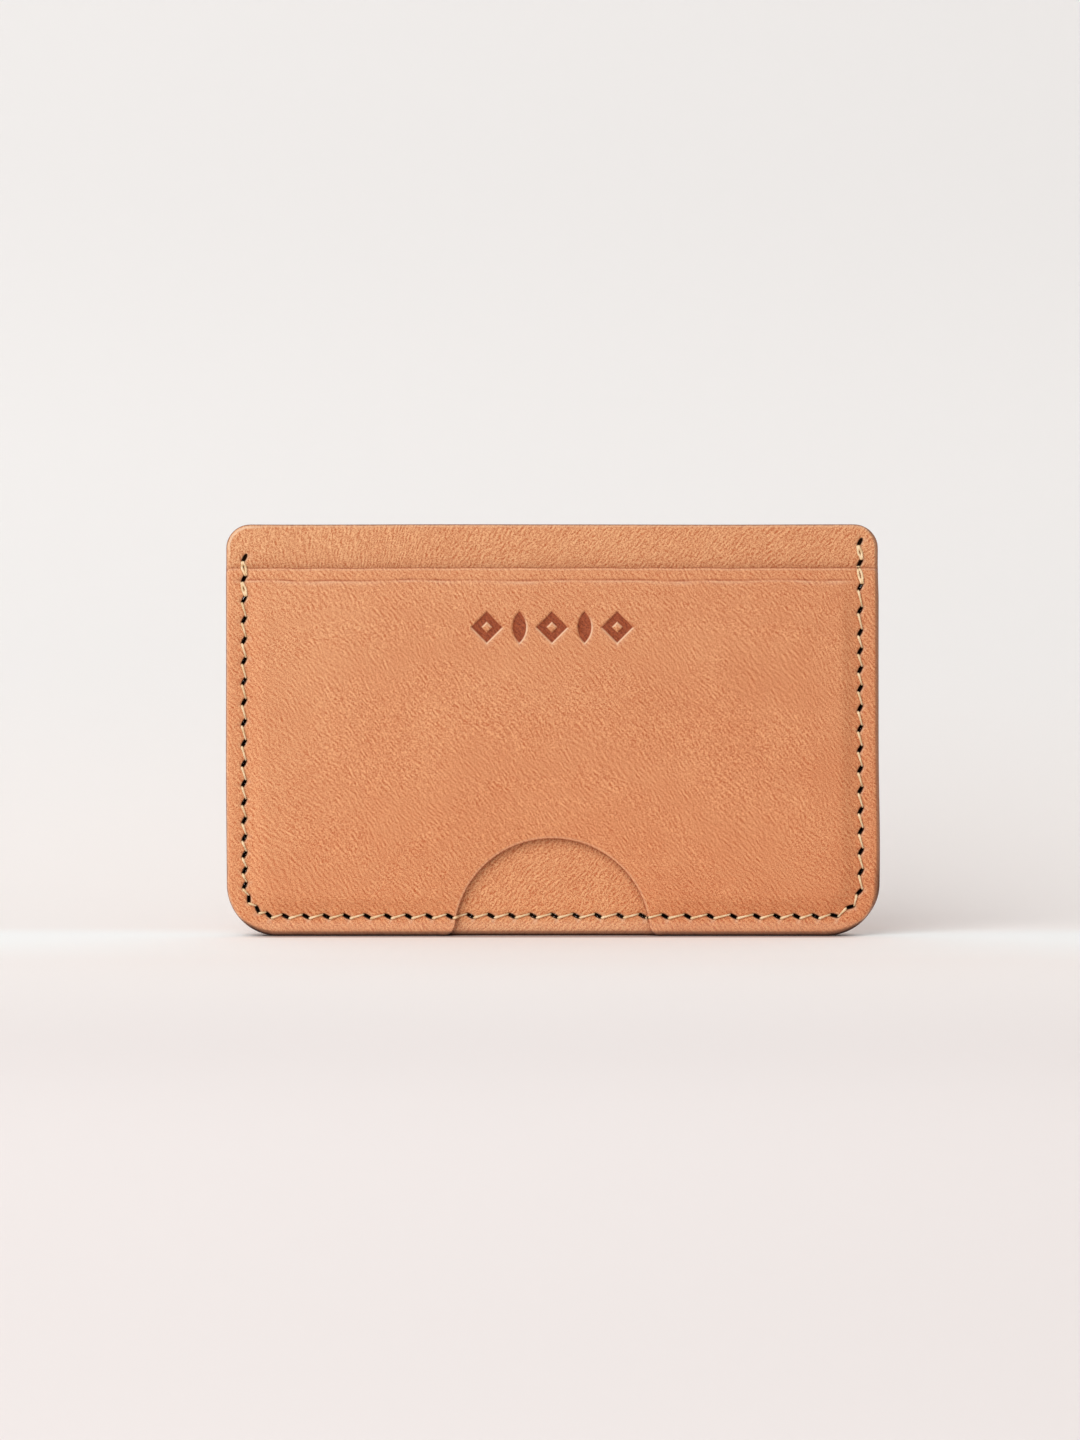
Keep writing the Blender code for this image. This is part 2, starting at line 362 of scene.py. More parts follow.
def hole_loop(hole, margin=0.0):
    """A slanted awl slit, or a ring round it at a margin, counter-clockwise."""
    center, along, across = hole
    turns = np.linspace(0, math.tau, HOLE_SIDES, endpoint=False)
    cosine, sine = np.cos(turns), np.sin(turns)
    reach = (HOLE_LENGTH + margin) * np.sign(cosine) * np.abs(cosine) ** HOLE_BLUNTNESS
    width = (HOLE_WIDTH + margin) * np.sign(sine) * np.abs(sine) ** HOLE_BLUNTNESS
    return center + np.outer(reach, along) + np.outer(width, across)


def hole_distance(points, hole):
    """Distance outside a slit, taken as a rounded slot."""
    center, along, across = hole
    local = points - center
    reach = np.maximum(np.abs(local @ along) - (HOLE_LENGTH - HOLE_WIDTH), 0.0)
    return np.hypot(reach, local @ across) - HOLE_WIDTH


def stitch_spans():
    """Start and end of the thread that shows between each two holes."""
    spans = []
    for before, after in zip(HOLES, HOLES[1:]):
        spans.append((before[0] + before[1] * LEG_REACH, after[0] - after[1] * LEG_REACH))
    return spans


SPANS = stitch_spans()


def span_distance(points, start, end):
    """Distance to a straight stretch."""
    run = end - start
    share = np.clip((points - start) @ run / (run @ run), 0.0, 1.0)
    offset = points - start - np.outer(share, run)
    return np.hypot(offset[:, 0], offset[:, 1])


# === Outlines ===


def flare_places():
    """Centre and tilt of the arcs that lead the notch into the bottom edge."""
    reach = NOTCH_RADIUS + NOTCH_FLARE
    return math.sqrt(reach ** 2 - NOTCH_FLARE ** 2), math.degrees(math.asin(NOTCH_FLARE / reach))


def panel_arcs(height, top_corner, notched):
    """Arcs of an outline: centre x and z, radius, start and end in degrees."""
    half = WIDTH / 2
    arcs = [
        (half - BOTTOM_CORNER, BOTTOM_CORNER, BOTTOM_CORNER, -90, 0),
        (half - top_corner, height - top_corner, top_corner, 0, 90),
        (top_corner - half, height - top_corner, top_corner, 90, 180),
        (BOTTOM_CORNER - half, BOTTOM_CORNER, BOTTOM_CORNER, 180, 270),
    ]
    if notched:
        flare_x, tilt = flare_places()
        arcs.append((-flare_x, NOTCH_FLARE, NOTCH_FLARE, -90, -tilt))
        arcs.append((0.0, 0.0, NOTCH_RADIUS, 180 - tilt, tilt))
        arcs.append((flare_x, NOTCH_FLARE, NOTCH_FLARE, 180 + tilt, 270))
    return arcs


def arc_points(arc, inset, steps):
    """Points along an arc moved inwards: a hollow arc grows and a round corner shrinks."""
    center_x, center_z, radius, start, end = arc
    radius = radius - inset if end > start else radius + inset
    angles = np.radians(np.linspace(start, end, steps + 1))
    return np.column_stack((center_x + radius * np.cos(angles), center_z + radius * np.sin(angles)))


def ring(arcs, inset=0.0):
    """A closed line round a panel, at an inset from its outline."""
    pieces = []
    for arc, following in zip(arcs, arcs[1:] + arcs[:1]):
        radius, start, end = arc[2:]
        arc_length = radius * math.radians(abs(end - start))
        steps = max(LEAST_ARC_STEPS, math.ceil(arc_length / OUTLINE_STEP))
        curve = arc_points(arc, inset, steps)
        goal = arc_points(following, inset, 1)[0]
        flat_run = np.linalg.norm(arc_points(following, 0.0, 1)[0] - arc_points(arc, 0.0, 1)[1])
        pieces.append(curve[:-1])
        line_steps = math.ceil(flat_run / OUTLINE_STEP - TINY)
        if line_steps:
            shares = np.linspace(0, 1, line_steps, endpoint=False)[:, None]
            pieces.append(curve[-1] * (1 - shares) + goal * shares)
    return np.vstack(pieces)


def edge_distance(points, height, top_corner, notched):
    """Distance inwards from a panel's outline."""
    x, z = np.abs(points[:, 0]), points[:, 1]
    lower = z < height / 2
    corner = np.where(lower, BOTTOM_CORNER, top_corner)
    rise = np.where(lower, corner - z, z - (height - corner))
    side = x - (WIDTH / 2 - corner)
    rounded = np.hypot(np.maximum(side, 0), np.maximum(rise, 0))
    distance = corner - rounded - np.minimum(np.maximum(side, rise), 0)
    if notched:
        flare_x, _ = flare_places()
        in_flare = (x < flare_x) & (z < NOTCH_FLARE)
        flare = NOTCH_FLARE - np.hypot(x - flare_x, z - NOTCH_FLARE)
        beside_notch = np.minimum(distance, np.hypot(x, z) - NOTCH_RADIUS)
        distance = np.where(in_flare, flare, beside_notch)
    return np.maximum(distance, 0.0)


def seam_inset(points):
    """Distance inwards from the seam line, which is open at the top."""
    side = SEAM_HALF_WIDTH - np.abs(points[:, 0])
    base = points[:, 1] - SEAM_BASE
    in_corner = (side < SEAM_CORNER) & (base < SEAM_CORNER)
    round_corner = SEAM_CORNER - np.hypot(SEAM_CORNER - side, SEAM_CORNER - base)
    return np.where(in_corner, round_corner, np.minimum(side, base))


# === Pressed mark: three hollow lozenges with upright leaves between them ===

LOZENGE = 2.2
LOZENGE_CORE = 0.85
LOZENGE_MIDDLES = (-9.5, 0.0, 9.5)
LOZENGE_SIDE_STEPS = 12
LEAF_LENGTH = 2.2
LEAF_WIDTH = 0.95
LEAF_MIDDLES = (-4.75, 4.75)
LEAF_SIDE_STEPS = 24
GLEAM_STEP = 0.02


def lozenge(points, middle, half):
    """Signed distance to a square lozenge: negative is inside."""
    local = np.abs(points - (middle, MARK_HEIGHT))
    return (local[:, 0] + local[:, 1] - half) / math.sqrt(2)


def lozenge_loop(middle, half, grow):
    """Outline of a lozenge moved outwards."""
    corners = np.array(((1, 0), (0, 1), (-1, 0), (0, -1))) * (half + grow * math.sqrt(2))
    shares = np.linspace(0, 1, LOZENGE_SIDE_STEPS, endpoint=False)[:, None]
    following = np.roll(corners, -1, axis=0)
    sides = [start * (1 - shares) + end * shares for start, end in zip(corners, following)]
    return np.vstack(sides) + (middle, MARK_HEIGHT)


def leaf_arc():
    """Radius of a leaf's two edges, and how far their centres are from its own."""
    radius = (LEAF_LENGTH ** 2 + LEAF_WIDTH ** 2) / (2 * LEAF_WIDTH)
    return radius, radius - LEAF_WIDTH


def leaf(points, middle):
    """Signed distance to an upright leaf shape."""
    radius, shift = leaf_arc()
    local = np.abs(points - (middle, MARK_HEIGHT))
    return np.hypot(local[:, 0] + shift, local[:, 1]) - radius


def leaf_loop(middle, grow):
    """Outline of a leaf moved outwards."""
    radius, shift = leaf_arc()
    radius += grow
    reach = math.acos(shift / radius)
    angles = np.linspace(-reach, reach, LEAF_SIDE_STEPS, endpoint=False)
    right = np.column_stack((radius * np.cos(angles) - shift, radius * np.sin(angles)))
    return np.vstack((right, -right)) + (middle, MARK_HEIGHT)


def mark_distance(points):
    """Signed distance to the pressed mark."""
    shapes = [leaf(points, middle) for middle in LEAF_MIDDLES]
    for middle in LOZENGE_MIDDLES:
        outline, core = lozenge(points, middle, LOZENGE), lozenge(points, middle, LOZENGE_CORE)
        shapes.append(np.maximum(outline, -core))
    return np.minimum.reduce(shapes)


def mark_loops(grow):
    """Lines round the shapes of the mark, moved outwards from their outlines."""
    loops = [leaf_loop(middle, grow) for middle in LEAF_MIDDLES]
    for middle in LOZENGE_MIDDLES:
        loops.append(lozenge_loop(middle, LOZENGE, grow))
        loops.append(lozenge_loop(middle, LOZENGE_CORE, -grow))
    return loops


# === Leather panels ===


class Panel:
    """What makes one panel differ from the others."""

    def __init__(self, node, side, face, height, top_corner, notched, dished):
        self.node = node
        self.side = side
        self.face = face
        self.height = height
        self.top_corner = top_corner
        self.notched = notched
        self.dished = dished
        self.holes = [hole for hole in HOLES if not notched or under_front_panel(hole[0])]
        self.arcs = panel_arcs(height, top_corner, notched)

    def distance(self, points):
        """Distance inwards from this panel's outline."""
        return edge_distance(points, self.height, self.top_corner, self.notched)

    def edge_radius(self, points):
        """How round the grain side's edge is: most at the outside of the holder."""
        x, z = np.abs(points[:, 0]), points[:, 1]
        if self.node == "front_panel":
            lip = smoothstep(*CRISP_LIP, z) * smoothstep(*CRISP_LIP_ENDS, WIDTH / 2 - x)
            near_notch = smoothstep(*CRISP_NOTCH, np.hypot(x, z))
            return EDGE_ROUND + (CUT_ROUND - EDGE_ROUND) * np.maximum(lip, near_notch)
        if self.node == "back_panel":
            return np.full(len(points), EDGE_ROUND)
        bare = np.maximum(smoothstep(*BARE_TOP, z), smoothstep(*BARE_NOTCH, np.hypot(x, z)))
        return HIDDEN_ROUND + (BARE_ROUND - HIDDEN_ROUND) * bare

    def dish(self, points):
        """How far the panel stands off its stitched margin: less where the pocket is open."""
        if not self.dished:
            return np.zeros(len(points))
        inset = seam_inset(points)
        shoulder = smoothstep(FOOT_INSET, SHOULDER_INSET, inset)
        crown = 1 - np.exp(-np.maximum(inset, 0.0) / CROWN_REACH)
        to_mouth = self.height - points[:, 1]
        if self.notched:
            to_mouth = np.minimum(to_mouth, np.hypot(points[:, 0], points[:, 1]) - NOTCH_RADIUS)
        settled = 1 - MOUTH_SETTLE * np.exp(-np.maximum(to_mouth, 0.0) / MOUTH_REACH)
        return POCKET_DEPTH * ((1 - CROWN_SHARE) * shoulder + CROWN_SHARE * crown) * settled

    def grain_lift(self, points):
        """Height of the grain side above the panel's face."""
        distance = self.distance(points)
        radius = self.edge_radius(points)
        inward = np.clip(1 - distance / radius, 0.0, 1.0)
        lift = self.dish(points) - radius * (1 - np.sqrt(1 - inward ** 2))
        lift += ripple(points, *BROAD_WAVES) * smoothstep(*BROAD_FADE, seam_inset(points))
        lift += ripple(points, *FINE_WAVES) * smoothstep(*FINE_FADE, distance)
        lift -= stitch_pull(points, self.holes)
        if self.node == "front_panel":
            lift -= CREASE_DEPTH * crease(points)
            lift += RIDGE_SHARE * CREASE_DEPTH * crease(points + RIDGE_SHIFT)
            lift -= MARK_DEPTH * mark_press(points)
            lift += band(mark_distance(points), *MARK_RIM_LIFT)
        return lift

    def flesh_lift(self, points):
        """Height of the flesh side above the panel's inner face."""
        inward = np.clip(1 - self.distance(points) / HIDDEN_ROUND, 0.0, 1.0)
        return self.dish(points) + HIDDEN_ROUND * (1 - np.sqrt(1 - inward ** 2))

    def finish_and_painted_light(self, points):
        """Edge burnishing, pressing, dark wear and polishing of the grain side, each from 0 to 1,
        carrying painted shade in the first three and painted highlights in the last.
        """
        x, z = points[:, 0], points[:, 1]
        rim = edge_distance(points, HEIGHT, TOP_CORNER, False) + ripple(points, *RIM_WAVES)
        right, foot = smoothstep(*RIGHT_SIDE, x), smoothstep(*FOOT, z)
        worn = right * band(z, *WORN_SPOT)
        # Painted shade: the edge burnishing widens on the right and at the foot, where the edges turn
        # away from the light.
        width = EVEN_WIDTH + RIGHT_WIDTH * right + FOOT_WIDTH * foot + WORN_WIDTH * worn
        fade = EVEN_FADE + RIGHT_FADE * right + FOOT_FADE * foot
        burnish_and_shade = smoothstep(width + fade, width, rim) * (1 - RIGHT_PALENESS * right * (1 - foot))
        # Painted shade: the rounded foot goes near black where it turns down to the floor, besides the
        # real darkening of the worn spot.
        dark_wear_and_shade = np.maximum(foot, WORN_BURN * worn) * smoothstep(*DARK_EDGE_ZONE, rim)
        own_edge = self.distance(points)
        # Darkened cut edges: edge dye, and painted crevice shade along the lip.
        press_and_shade = EDGE_DYE_AND_SHADE * smoothstep(*DARK_CUT_EDGE, own_edge)
        top_left = smoothstep(*LEFT_END, x) * smoothstep(*TOP_END, z)
        # Painted highlights on the bevel of every edge and, brighter, round the top left corner; the
        # foot is only made paler and smoother.
        polish_and_painted_highlight = np.maximum.reduce((
            band(own_edge, *EDGE_HIGHLIGHT),
            FOOT_PALING * smoothstep(*PALER_FOOT, z),
            top_left * band(own_edge, *CORNER_HIGHLIGHT),
        ))
        if self.node == "front_panel":
            press_and_shade = np.maximum.reduce((press_and_shade, mark_stain(points), CREASE_PRESS * crease(points)))
            # Painted highlight on the ridge under the crease.
            ridge = RIDGE_SHARE * crease(points + RIDGE_SHIFT)
            polish_and_painted_highlight = np.maximum.reduce((polish_and_painted_highlight, mark_gleam(points), ridge))
        if self.node == "middle_panel":
            # Painted shade on the middle panel just past the lip and the notch, where the front panel's
            # edge shades it.
            press_and_shade = np.maximum(press_and_shade, LIP_SHADE * np.exp(-front_gap(points) / LIP_SHADE_REACH))
        for hole in self.holes:
            away = hole_distance(points, hole)
            # Painted highlight on the rim of each hole, strongest on its lower right.
            lower_right = (points - hole[0]) @ LOWER_RIGHT / (HOLE_LENGTH + HOLE_GLEAM_MARGIN)
            # Painted shade: the walls of each hole go near black.
            dark_wear_and_shade = np.maximum(dark_wear_and_shade, smoothstep(*HOLE_SHADE_ZONE, away))
            gleam = (HOLE_GLEAM + HOLE_GLEAM_SLOPE * lower_right) * band(away, *HOLE_GLEAM_BAND)
            polish_and_painted_highlight = np.maximum(polish_and_painted_highlight, gleam)
        return np.column_stack((burnish_and_shade, press_and_shade, dark_wear_and_shade, polish_and_painted_highlight))


def front_gap(points):
    """How far a point of the middle panel is from the edge of the front panel that shades it."""
    above_lip = points[:, 1] - LIP_HEIGHT
    in_notch = NOTCH_RADIUS - np.hypot(points[:, 0], points[:, 1])
    return np.maximum(np.maximum(above_lip, in_notch), 0.0)


def crease(points):
    """The creased line under the lip: 1 on the line, 0 away from it."""
    x, z = points[:, 0], points[:, 1]
    waves = (height * np.sin(x / period + phase) for height, period, phase in CREASE_WANDER)
    middle = sum(waves, CREASE_HEIGHT)
    line = band(z, 1.0, middle, CREASE_WIDTH)
    ends = smoothstep(*CREASE_LEFT, x) * smoothstep(*CREASE_RIGHT, x)
    uneven = 1 - CREASE_UNEVENNESS * (1 - np.sin(x / 1.3 + 2 * np.sin(x / 3.1)))
    return line * ends * np.where(x < -SEAM_HALF_WIDTH, CREASE_OUTSIDE_SEAM, 1.0) * uneven


def mark_press(points):
    """How deep a point of the mark is pressed: 1 on its floor."""
    return smoothstep(2 * MARK_WALL, 0.0, mark_distance(points))


def mark_stain(points):
    """How darkened a point of the mark is: its floor, and not its walls."""
    return smoothstep(0.6 * MARK_WALL, 0.0, mark_distance(points))


def mark_gleam(points):
    """How much painted highlight a point of the mark gets: the walls that face the light."""
    away = mark_distance(points)
    right = mark_distance(points + (GLEAM_STEP, 0.0)) - away
    up = mark_distance(points + (0.0, GLEAM_STEP)) - away
    facing = smoothstep(*WALL_TO_LIGHT, (LIGHT[0] * right + LIGHT[1] * up) / GLEAM_STEP)
    return facing * band(away, *WALL_GLEAM)


def stitch_pull(points, holes):
    """How far the stitches pull the leather in, at the holes and under the thread."""
    pull = np.zeros(len(points))
    for hole in holes:
        away = np.maximum(hole_distance(points, hole), 0.0)
        pull = np.maximum(pull, band(away, *HOLE_PULL))
    for start, end in SPANS:
        away = span_distance(points, start, end)
        pull = np.maximum(pull, band(away, *STITCH_PULL) + band(away, *MARGIN_PULL))
    return pull


def spread_out(groups, kept):
    """Adds groups of points to the kept ones, leaving out those within each group's gap of them."""
    for group, gap in groups:
        tree = kdtree.KDTree(len(kept))
        for index, point in enumerate(kept):
            tree.insert((point[0], point[1], 0.0), index)
        tree.balance()
        fresh = [point for point in group if tree.find((point[0], point[1], 0.0))[2] > gap]
        kept = np.vstack((kept, fresh)) if fresh else kept
    return kept


def jittered_grid(step, height, seed):
    """Points all over the panel, a little off a regular grid."""
    draw = np.random.default_rng(seed)
    xs = np.arange(-WIDTH / 2 + step / 2, WIDTH / 2, step)
    zs = np.arange(step / 2, height, step * ROW_STEP)
    grid = np.array([(x + (row % 2) * step / 2, z) for row, z in enumerate(zs) for x in xs])
    return grid + draw.uniform(-JITTER * step, JITTER * step, grid.shape)


def seam_points(holes):
    """Rings round the holes and rows beside the stitches."""
    rings = [hole_loop(hole, margin) for hole in holes for margin in HOLE_RINGS]
    rows = []
    for start, end in SPANS:
        run = end - start
        across = np.array((-run[1], run[0])) / np.linalg.norm(run)
        shares = np.linspace(0, 1, STITCH_ROW_POINTS)[:, None]
        rows += [start + run * shares + across * offset for offset in STITCH_ROWS]
    return np.vstack(rings), np.vstack(rows)


def crease_points():
    """Rows along the crease."""
    reach = WIDTH / 2 - CREASE_ROW_MARGIN
    xs = np.arange(-reach, reach, CREASE_ROW_STEP)
    return np.vstack([
        np.column_stack((xs, np.full(len(xs), CREASE_HEIGHT + offset))) for offset in CREASE_ROWS
    ])


def inside_any(points, holes, margin):
    """True for each point that lies in a hole or within the margin of it."""
    hit = np.zeros(len(points), bool)
    for hole in holes:
        hit |= hole_distance(points, hole) < margin
    return hit


def triangulate(loops, lines, scattered):
    """Triangles over an outline with holes, and where each loop's points ended up."""
    points = []
    faces = []
    edges = []
    for loop in loops:
        faces.append(list(range(len(points), len(points) + len(loop))))
        points.extend(loop)
    for line in lines:
        first, count = len(points), len(line)
        edges.extend((first + step, first + (step + 1) % count) for step in range(count))
        points.extend(line)
    points.extend(scattered)
    vectors = [Vector((float(point[0]), float(point[1]))) for point in points]
    places, _, triangles, origins, _, sources = delaunay_2d_cdt(vectors, edges, faces, 0, TINY)
    found = {origin: index for index, group in enumerate(origins) for origin in group}
    kept = [triangle for triangle, source in zip(triangles, sources) if source == [0]]
    loop_places = [[found[index] for index in face] for face in faces]
    return np.array([tuple(place) for place in places]), kept, loop_places


def sheet(loops, marks, groups, holes, margin):
    """A flat triangulated sheet over an outline, with points scattered clear of the holes."""
    fixed = np.vstack(loops + marks)
    scattered = spread_out(groups, fixed)[len(fixed):]
    scattered = scattered[~inside_any(scattered, holes, margin)]
    return drop_unused(*triangulate(loops, marks, scattered))


def grain_sheet(panel):
    """The fine sheet of a panel's grain side."""
    loops = [ring(panel.arcs)] + [hole_loop(hole) for hole in panel.holes]
    marks = []
    rings, rows = seam_points(panel.holes)
    edge_rings = np.vstack([ring(panel.arcs, inset) for inset in EDGE_RINGS])
    groups = [(edge_rings, EDGE_RING_GAP), (rings, HOLE_RING_GAP), (rows, STITCH_ROW_GAP)]
    if panel.node == "front_panel":
        marks = mark_loops(0.0) + mark_loops(MARK_WALL) + mark_loops(2 * MARK_WALL)
        groups.append((crease_points(), CREASE_ROW_GAP))
        groups.append((np.vstack(mark_loops(-MARK_WALL) + mark_loops(MARK_RIM)), MARK_GAP))
    groups.append((jittered_grid(GRAIN_STEP, panel.height, GRAIN_SEED), GRAIN_GAP))
    return sheet(loops, marks, groups, panel.holes, GRAIN_HOLE_MARGIN)


def flesh_sheet(panel):
    """The coarse sheet of a panel's flesh side, where the holes are narrower."""
    loops = [ring(panel.arcs)] + [hole_loop(hole, -HOLE_TAPER) for hole in panel.holes]
    groups = [
        (ring(panel.arcs, HIDDEN_ROUND), EDGE_RING_GAP),
        (jittered_grid(FLESH_STEP, panel.height, FLESH_SEED), FLESH_GAP),
    ]
    return sheet(loops, [], groups, panel.holes, FLESH_HOLE_MARGIN)


def make_panel(panel, materials):
    """One leather panel as a closed solid: grain side, flesh side and cut edges."""
    grain, grain_faces, grain_loops = grain_sheet(panel)
    flesh, flesh_faces, flesh_loops = flesh_sheet(panel)
    grain_y = panel.side * (panel.face + panel.grain_lift(grain))
    flesh_y = panel.side * (panel.face - LEATHER + panel.flesh_lift(flesh))
    flat = np.vstack((grain, flesh))
    vertices = np.column_stack((flat[:, 0], np.concatenate((grain_y, flesh_y)), flat[:, 1]))
    vertices = hand_cut(vertices)
    if panel.node == "front_panel":
        vertices += front_overhang(flat)

    offset = len(grain)
    faces = [tuple(face) for face in grain_faces]
    faces += [tuple(corner + offset for corner in reversed(face)) for face in flesh_faces]
    for grain_loop, flesh_loop in zip(grain_loops, flesh_loops):
        inner_loop = [corner + offset for corner in flesh_loop]
        faces += zip(grain_loop, inner_loop, inner_loop[1:] + inner_loop[:1],
                     grain_loop[1:] + grain_loop[:1])
    slots = [0] * len(grain_faces) + [1] * len(flesh_faces)
    slots += [0] * (len(faces) - len(slots))
    finish_and_painted_light = np.vstack((panel.finish_and_painted_light(grain), panel.finish_and_painted_light(flesh)))
    piece = add_mesh("leather_" + panel.node, vertices, faces, materials, slots)
    piece.data.set_sharp_from_angle(angle=SHARP_ANGLE)
    layer = piece.data.color_attributes.new("finish_and_painted_light", "FLOAT_COLOR", "POINT")
    layer.data.foreach_set("color", finish_and_painted_light.astype(np.float32).ravel())
    stand_in(piece, panel.node)


def drop_unused(places, faces, loops):
    """Leaves out the points that no triangle uses."""
    used = sorted({corner for face in faces for corner in face})
    fresh = {old: new for new, old in enumerate(used)}
    faces = [[fresh[corner] for corner in face] for face in faces]
    return places[used], faces, [[fresh[corner] for corner in loop] for loop in loops]


def hand_cut(vertices):
    """The small unevenness of a hand-cut outline, the same for all three panels."""
    flat = vertices[:, [0, 2]]
    moved = vertices.copy()
    moved[:, 0] += ripple(flat, *SIDE_WAVES)
    moved[:, 0] += band(flat[:, 1], *SIDE_BULGE) * smoothstep(*BULGE_SIDE, flat[:, 0])
    moved[:, 2] += ripple(flat, *TOP_WAVES) * smoothstep(*TOP_WAVES_FADE, flat[:, 1])
    return moved


def front_overhang(flat):
    """The front panel's own unevenness: a little too wide on the right, and a wavy lip."""
    x, z = flat[:, 0], flat[:, 1]
    level = np.zeros(len(x))
    wide = OVERHANG * smoothstep(*OVERHANG_HEIGHTS, z) * smoothstep(*OVERHANG_SIDE, x)
    rise = LIP_RISE + ripple(np.column_stack((x, level)), *LIP_WAVES)
    return np.column_stack((wide, level, rise * smoothstep(*LIP_RISE_FADE, z)))


def new_object(name, data):
    """An object in the scene with the given data."""
    made = bpy.data.objects.new(name, data)
    bpy.context.collection.objects.link(made)
    return made


def stand_in(piece, node):
    """Puts a piece in place of its CAD node, which it hides."""
    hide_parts(node)
    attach(piece, "root")

def add_mesh(name, vertices, faces, materials, slots=None):
    """A smooth mesh object from points in millimetres, with its faces turned outwards."""
    mesh = bpy.data.meshes.new(name)
    mesh.from_pydata((np.asarray(vertices) * MM).tolist(), [], faces)
    for material in materials:
        mesh.materials.append(material)
    if slots:
        mesh.polygons.foreach_set("material_index", slots)
    shell = bmesh.new()
    shell.from_mesh(mesh)
    bmesh.ops.recalc_face_normals(shell, faces=shell.faces)
    shell.to_mesh(mesh)
    shell.free()
    mesh.shade_smooth()
    return new_object(name, mesh)


# === Thread ===


def face_level(place, side):
    """Distance from the middle plane to the leather that a thread lies on."""
    if side == BACK or under_front_panel(place):
        return OUTER_FACE
    return MIDDLE_FACE


def is_double(number):
    """True for the stitches at both ends of the seam, which are sewn twice."""
    return number < 2 or number > HOLE_COUNT - 4


def pass_over(number, side, shift):
    """Path of one stitch from inside a hole, over the leather, to inside the next hole."""
    start, end = SPANS[number]
    forward = (end - start) / np.linalg.norm(end - start)
    sideways = np.array((-forward[1], forward[0])) * shift
    shoulder = forward * STITCH_SHOULDER
    bulge = sideways * (1 + STRAND_BULGE / STRAND_GAP)
    if is_double(number):
        first_end, last_end, middle_share = EVEN_END, EVEN_END, 1.0
    elif forward @ LIGHT > 0:
        first_end, last_end, middle_share = PLUMP_END, THIN_END, SINGLE_SHARE
    else:
        first_end, last_end, middle_share = THIN_END, PLUMP_END, SINGLE_SHARE
    first, last = start + sideways, end + sideways
    way_out = [over(first + forward * run, side, lift, share) for run, lift, share in first_end]
    way_in = [over(last - forward * run, side, lift, share) for run, lift, share in last_end[::-1]]
    middle = climb(start + bulge + shoulder, end + bulge - shoulder, side, middle_share)
    return (inner_leg(number, side, 1, shift) + way_out + middle + way_in
            + inner_leg(number + 1, side, -1, shift)[::-1])


def lock_depth(center, depth):
    """Depth of a thread in a hole, further back where the front panel is missing."""
    return depth if under_front_panel(center) else depth + 0.5 * (OUTER_FACE - MIDDLE_FACE)


def inner_leg(number, side, direction, shift):
    """Path up one end of a hole, from the lock with the other thread to just under the face."""
    center, along, across = HOLES[number]
    doubled = is_double(number) or is_double(number - 1)
    lane = shift if doubled else direction * side * LEG_LANE
    depth = lock_depth(center, side * LOCK_DEPTH if doubled else -side * LOCK_DEPTH)
    reach = along * (direction * LEG_REACH)
    place = center + reach
    level = face_level(place, side)
    return [
        (center + 0.5 * reach + across * (0.5 * lane), depth, LOCK_RADIUS),
        (place + across * lane, depth, SQUEEZED_RADIUS),
        (place + across * (0.4 * lane), side * (level - LEG_TOP), SQUEEZED_RADIUS),
    ]


def turn_back(number, side, direction):
    """The knot inside an end hole, where the thread turns back."""
    center, along, across = HOLES[number]
    depth = lock_depth(center, side * LOCK_DEPTH)
    tip = center + along * (direction * KNOT_REACH * LEG_REACH)
    return [(tip + across * sideways, depth, KNOT_SIZE * LOCK_RADIUS)
            for sideways in (-KNOT_HALF_WIDTH, KNOT_HALF_WIDTH)]


def over(place, side, lift, share):
    """A path point on top of the leather, with its share of the full thread radius."""
    return place, side * (face_level(place, side) + lift), share * THREAD_RADIUS


def sewn_back(numbers, side):
    """Path back over stitches that were sewn before, beside their first strand."""
    return [point for number in numbers for point in pass_over(number, side, -STRAND_GAP)[::-1]]


def thread_path(side):
    """Places, depths and radii along one thread, which doubles back at both ends."""
    last = HOLE_COUNT - 2
    path = sewn_back((1, 0), side) + turn_back(0, side, -1)
    for number in range(last + 1):
        path += pass_over(number, side, STRAND_GAP if is_double(number) else 0.0)
    return path + turn_back(last + 1, side, 1) + sewn_back((last, last - 1), side)


def climb(start, end, side, share):
    """Path points over the middle of a stitch, with the step up to the front panel if there is one."""
    low, high = over(start, side, THREAD_LIFT, share), over(end, side, THREAD_LIFT, share)
    if math.isclose(low[1], high[1]):
        return [low, high]
    falling = abs(high[1]) < abs(low[1])
    if falling:
        low, high = high, low
    line = [low[0] * (1 - along) + high[0] * along for along in np.linspace(0, 1, EDGE_SEARCH_STEPS)]
    edge = next(place for place in line if under_front_panel(place))
    forward = (high[0] - low[0]) / np.linalg.norm(high[0] - low[0])
    steps = [(edge + forward * run, low[1] * lower + high[1] * upper, THREAD_RADIUS)
             for run, lower, upper in STEP_UP]
    return steps[::-1] if falling else steps


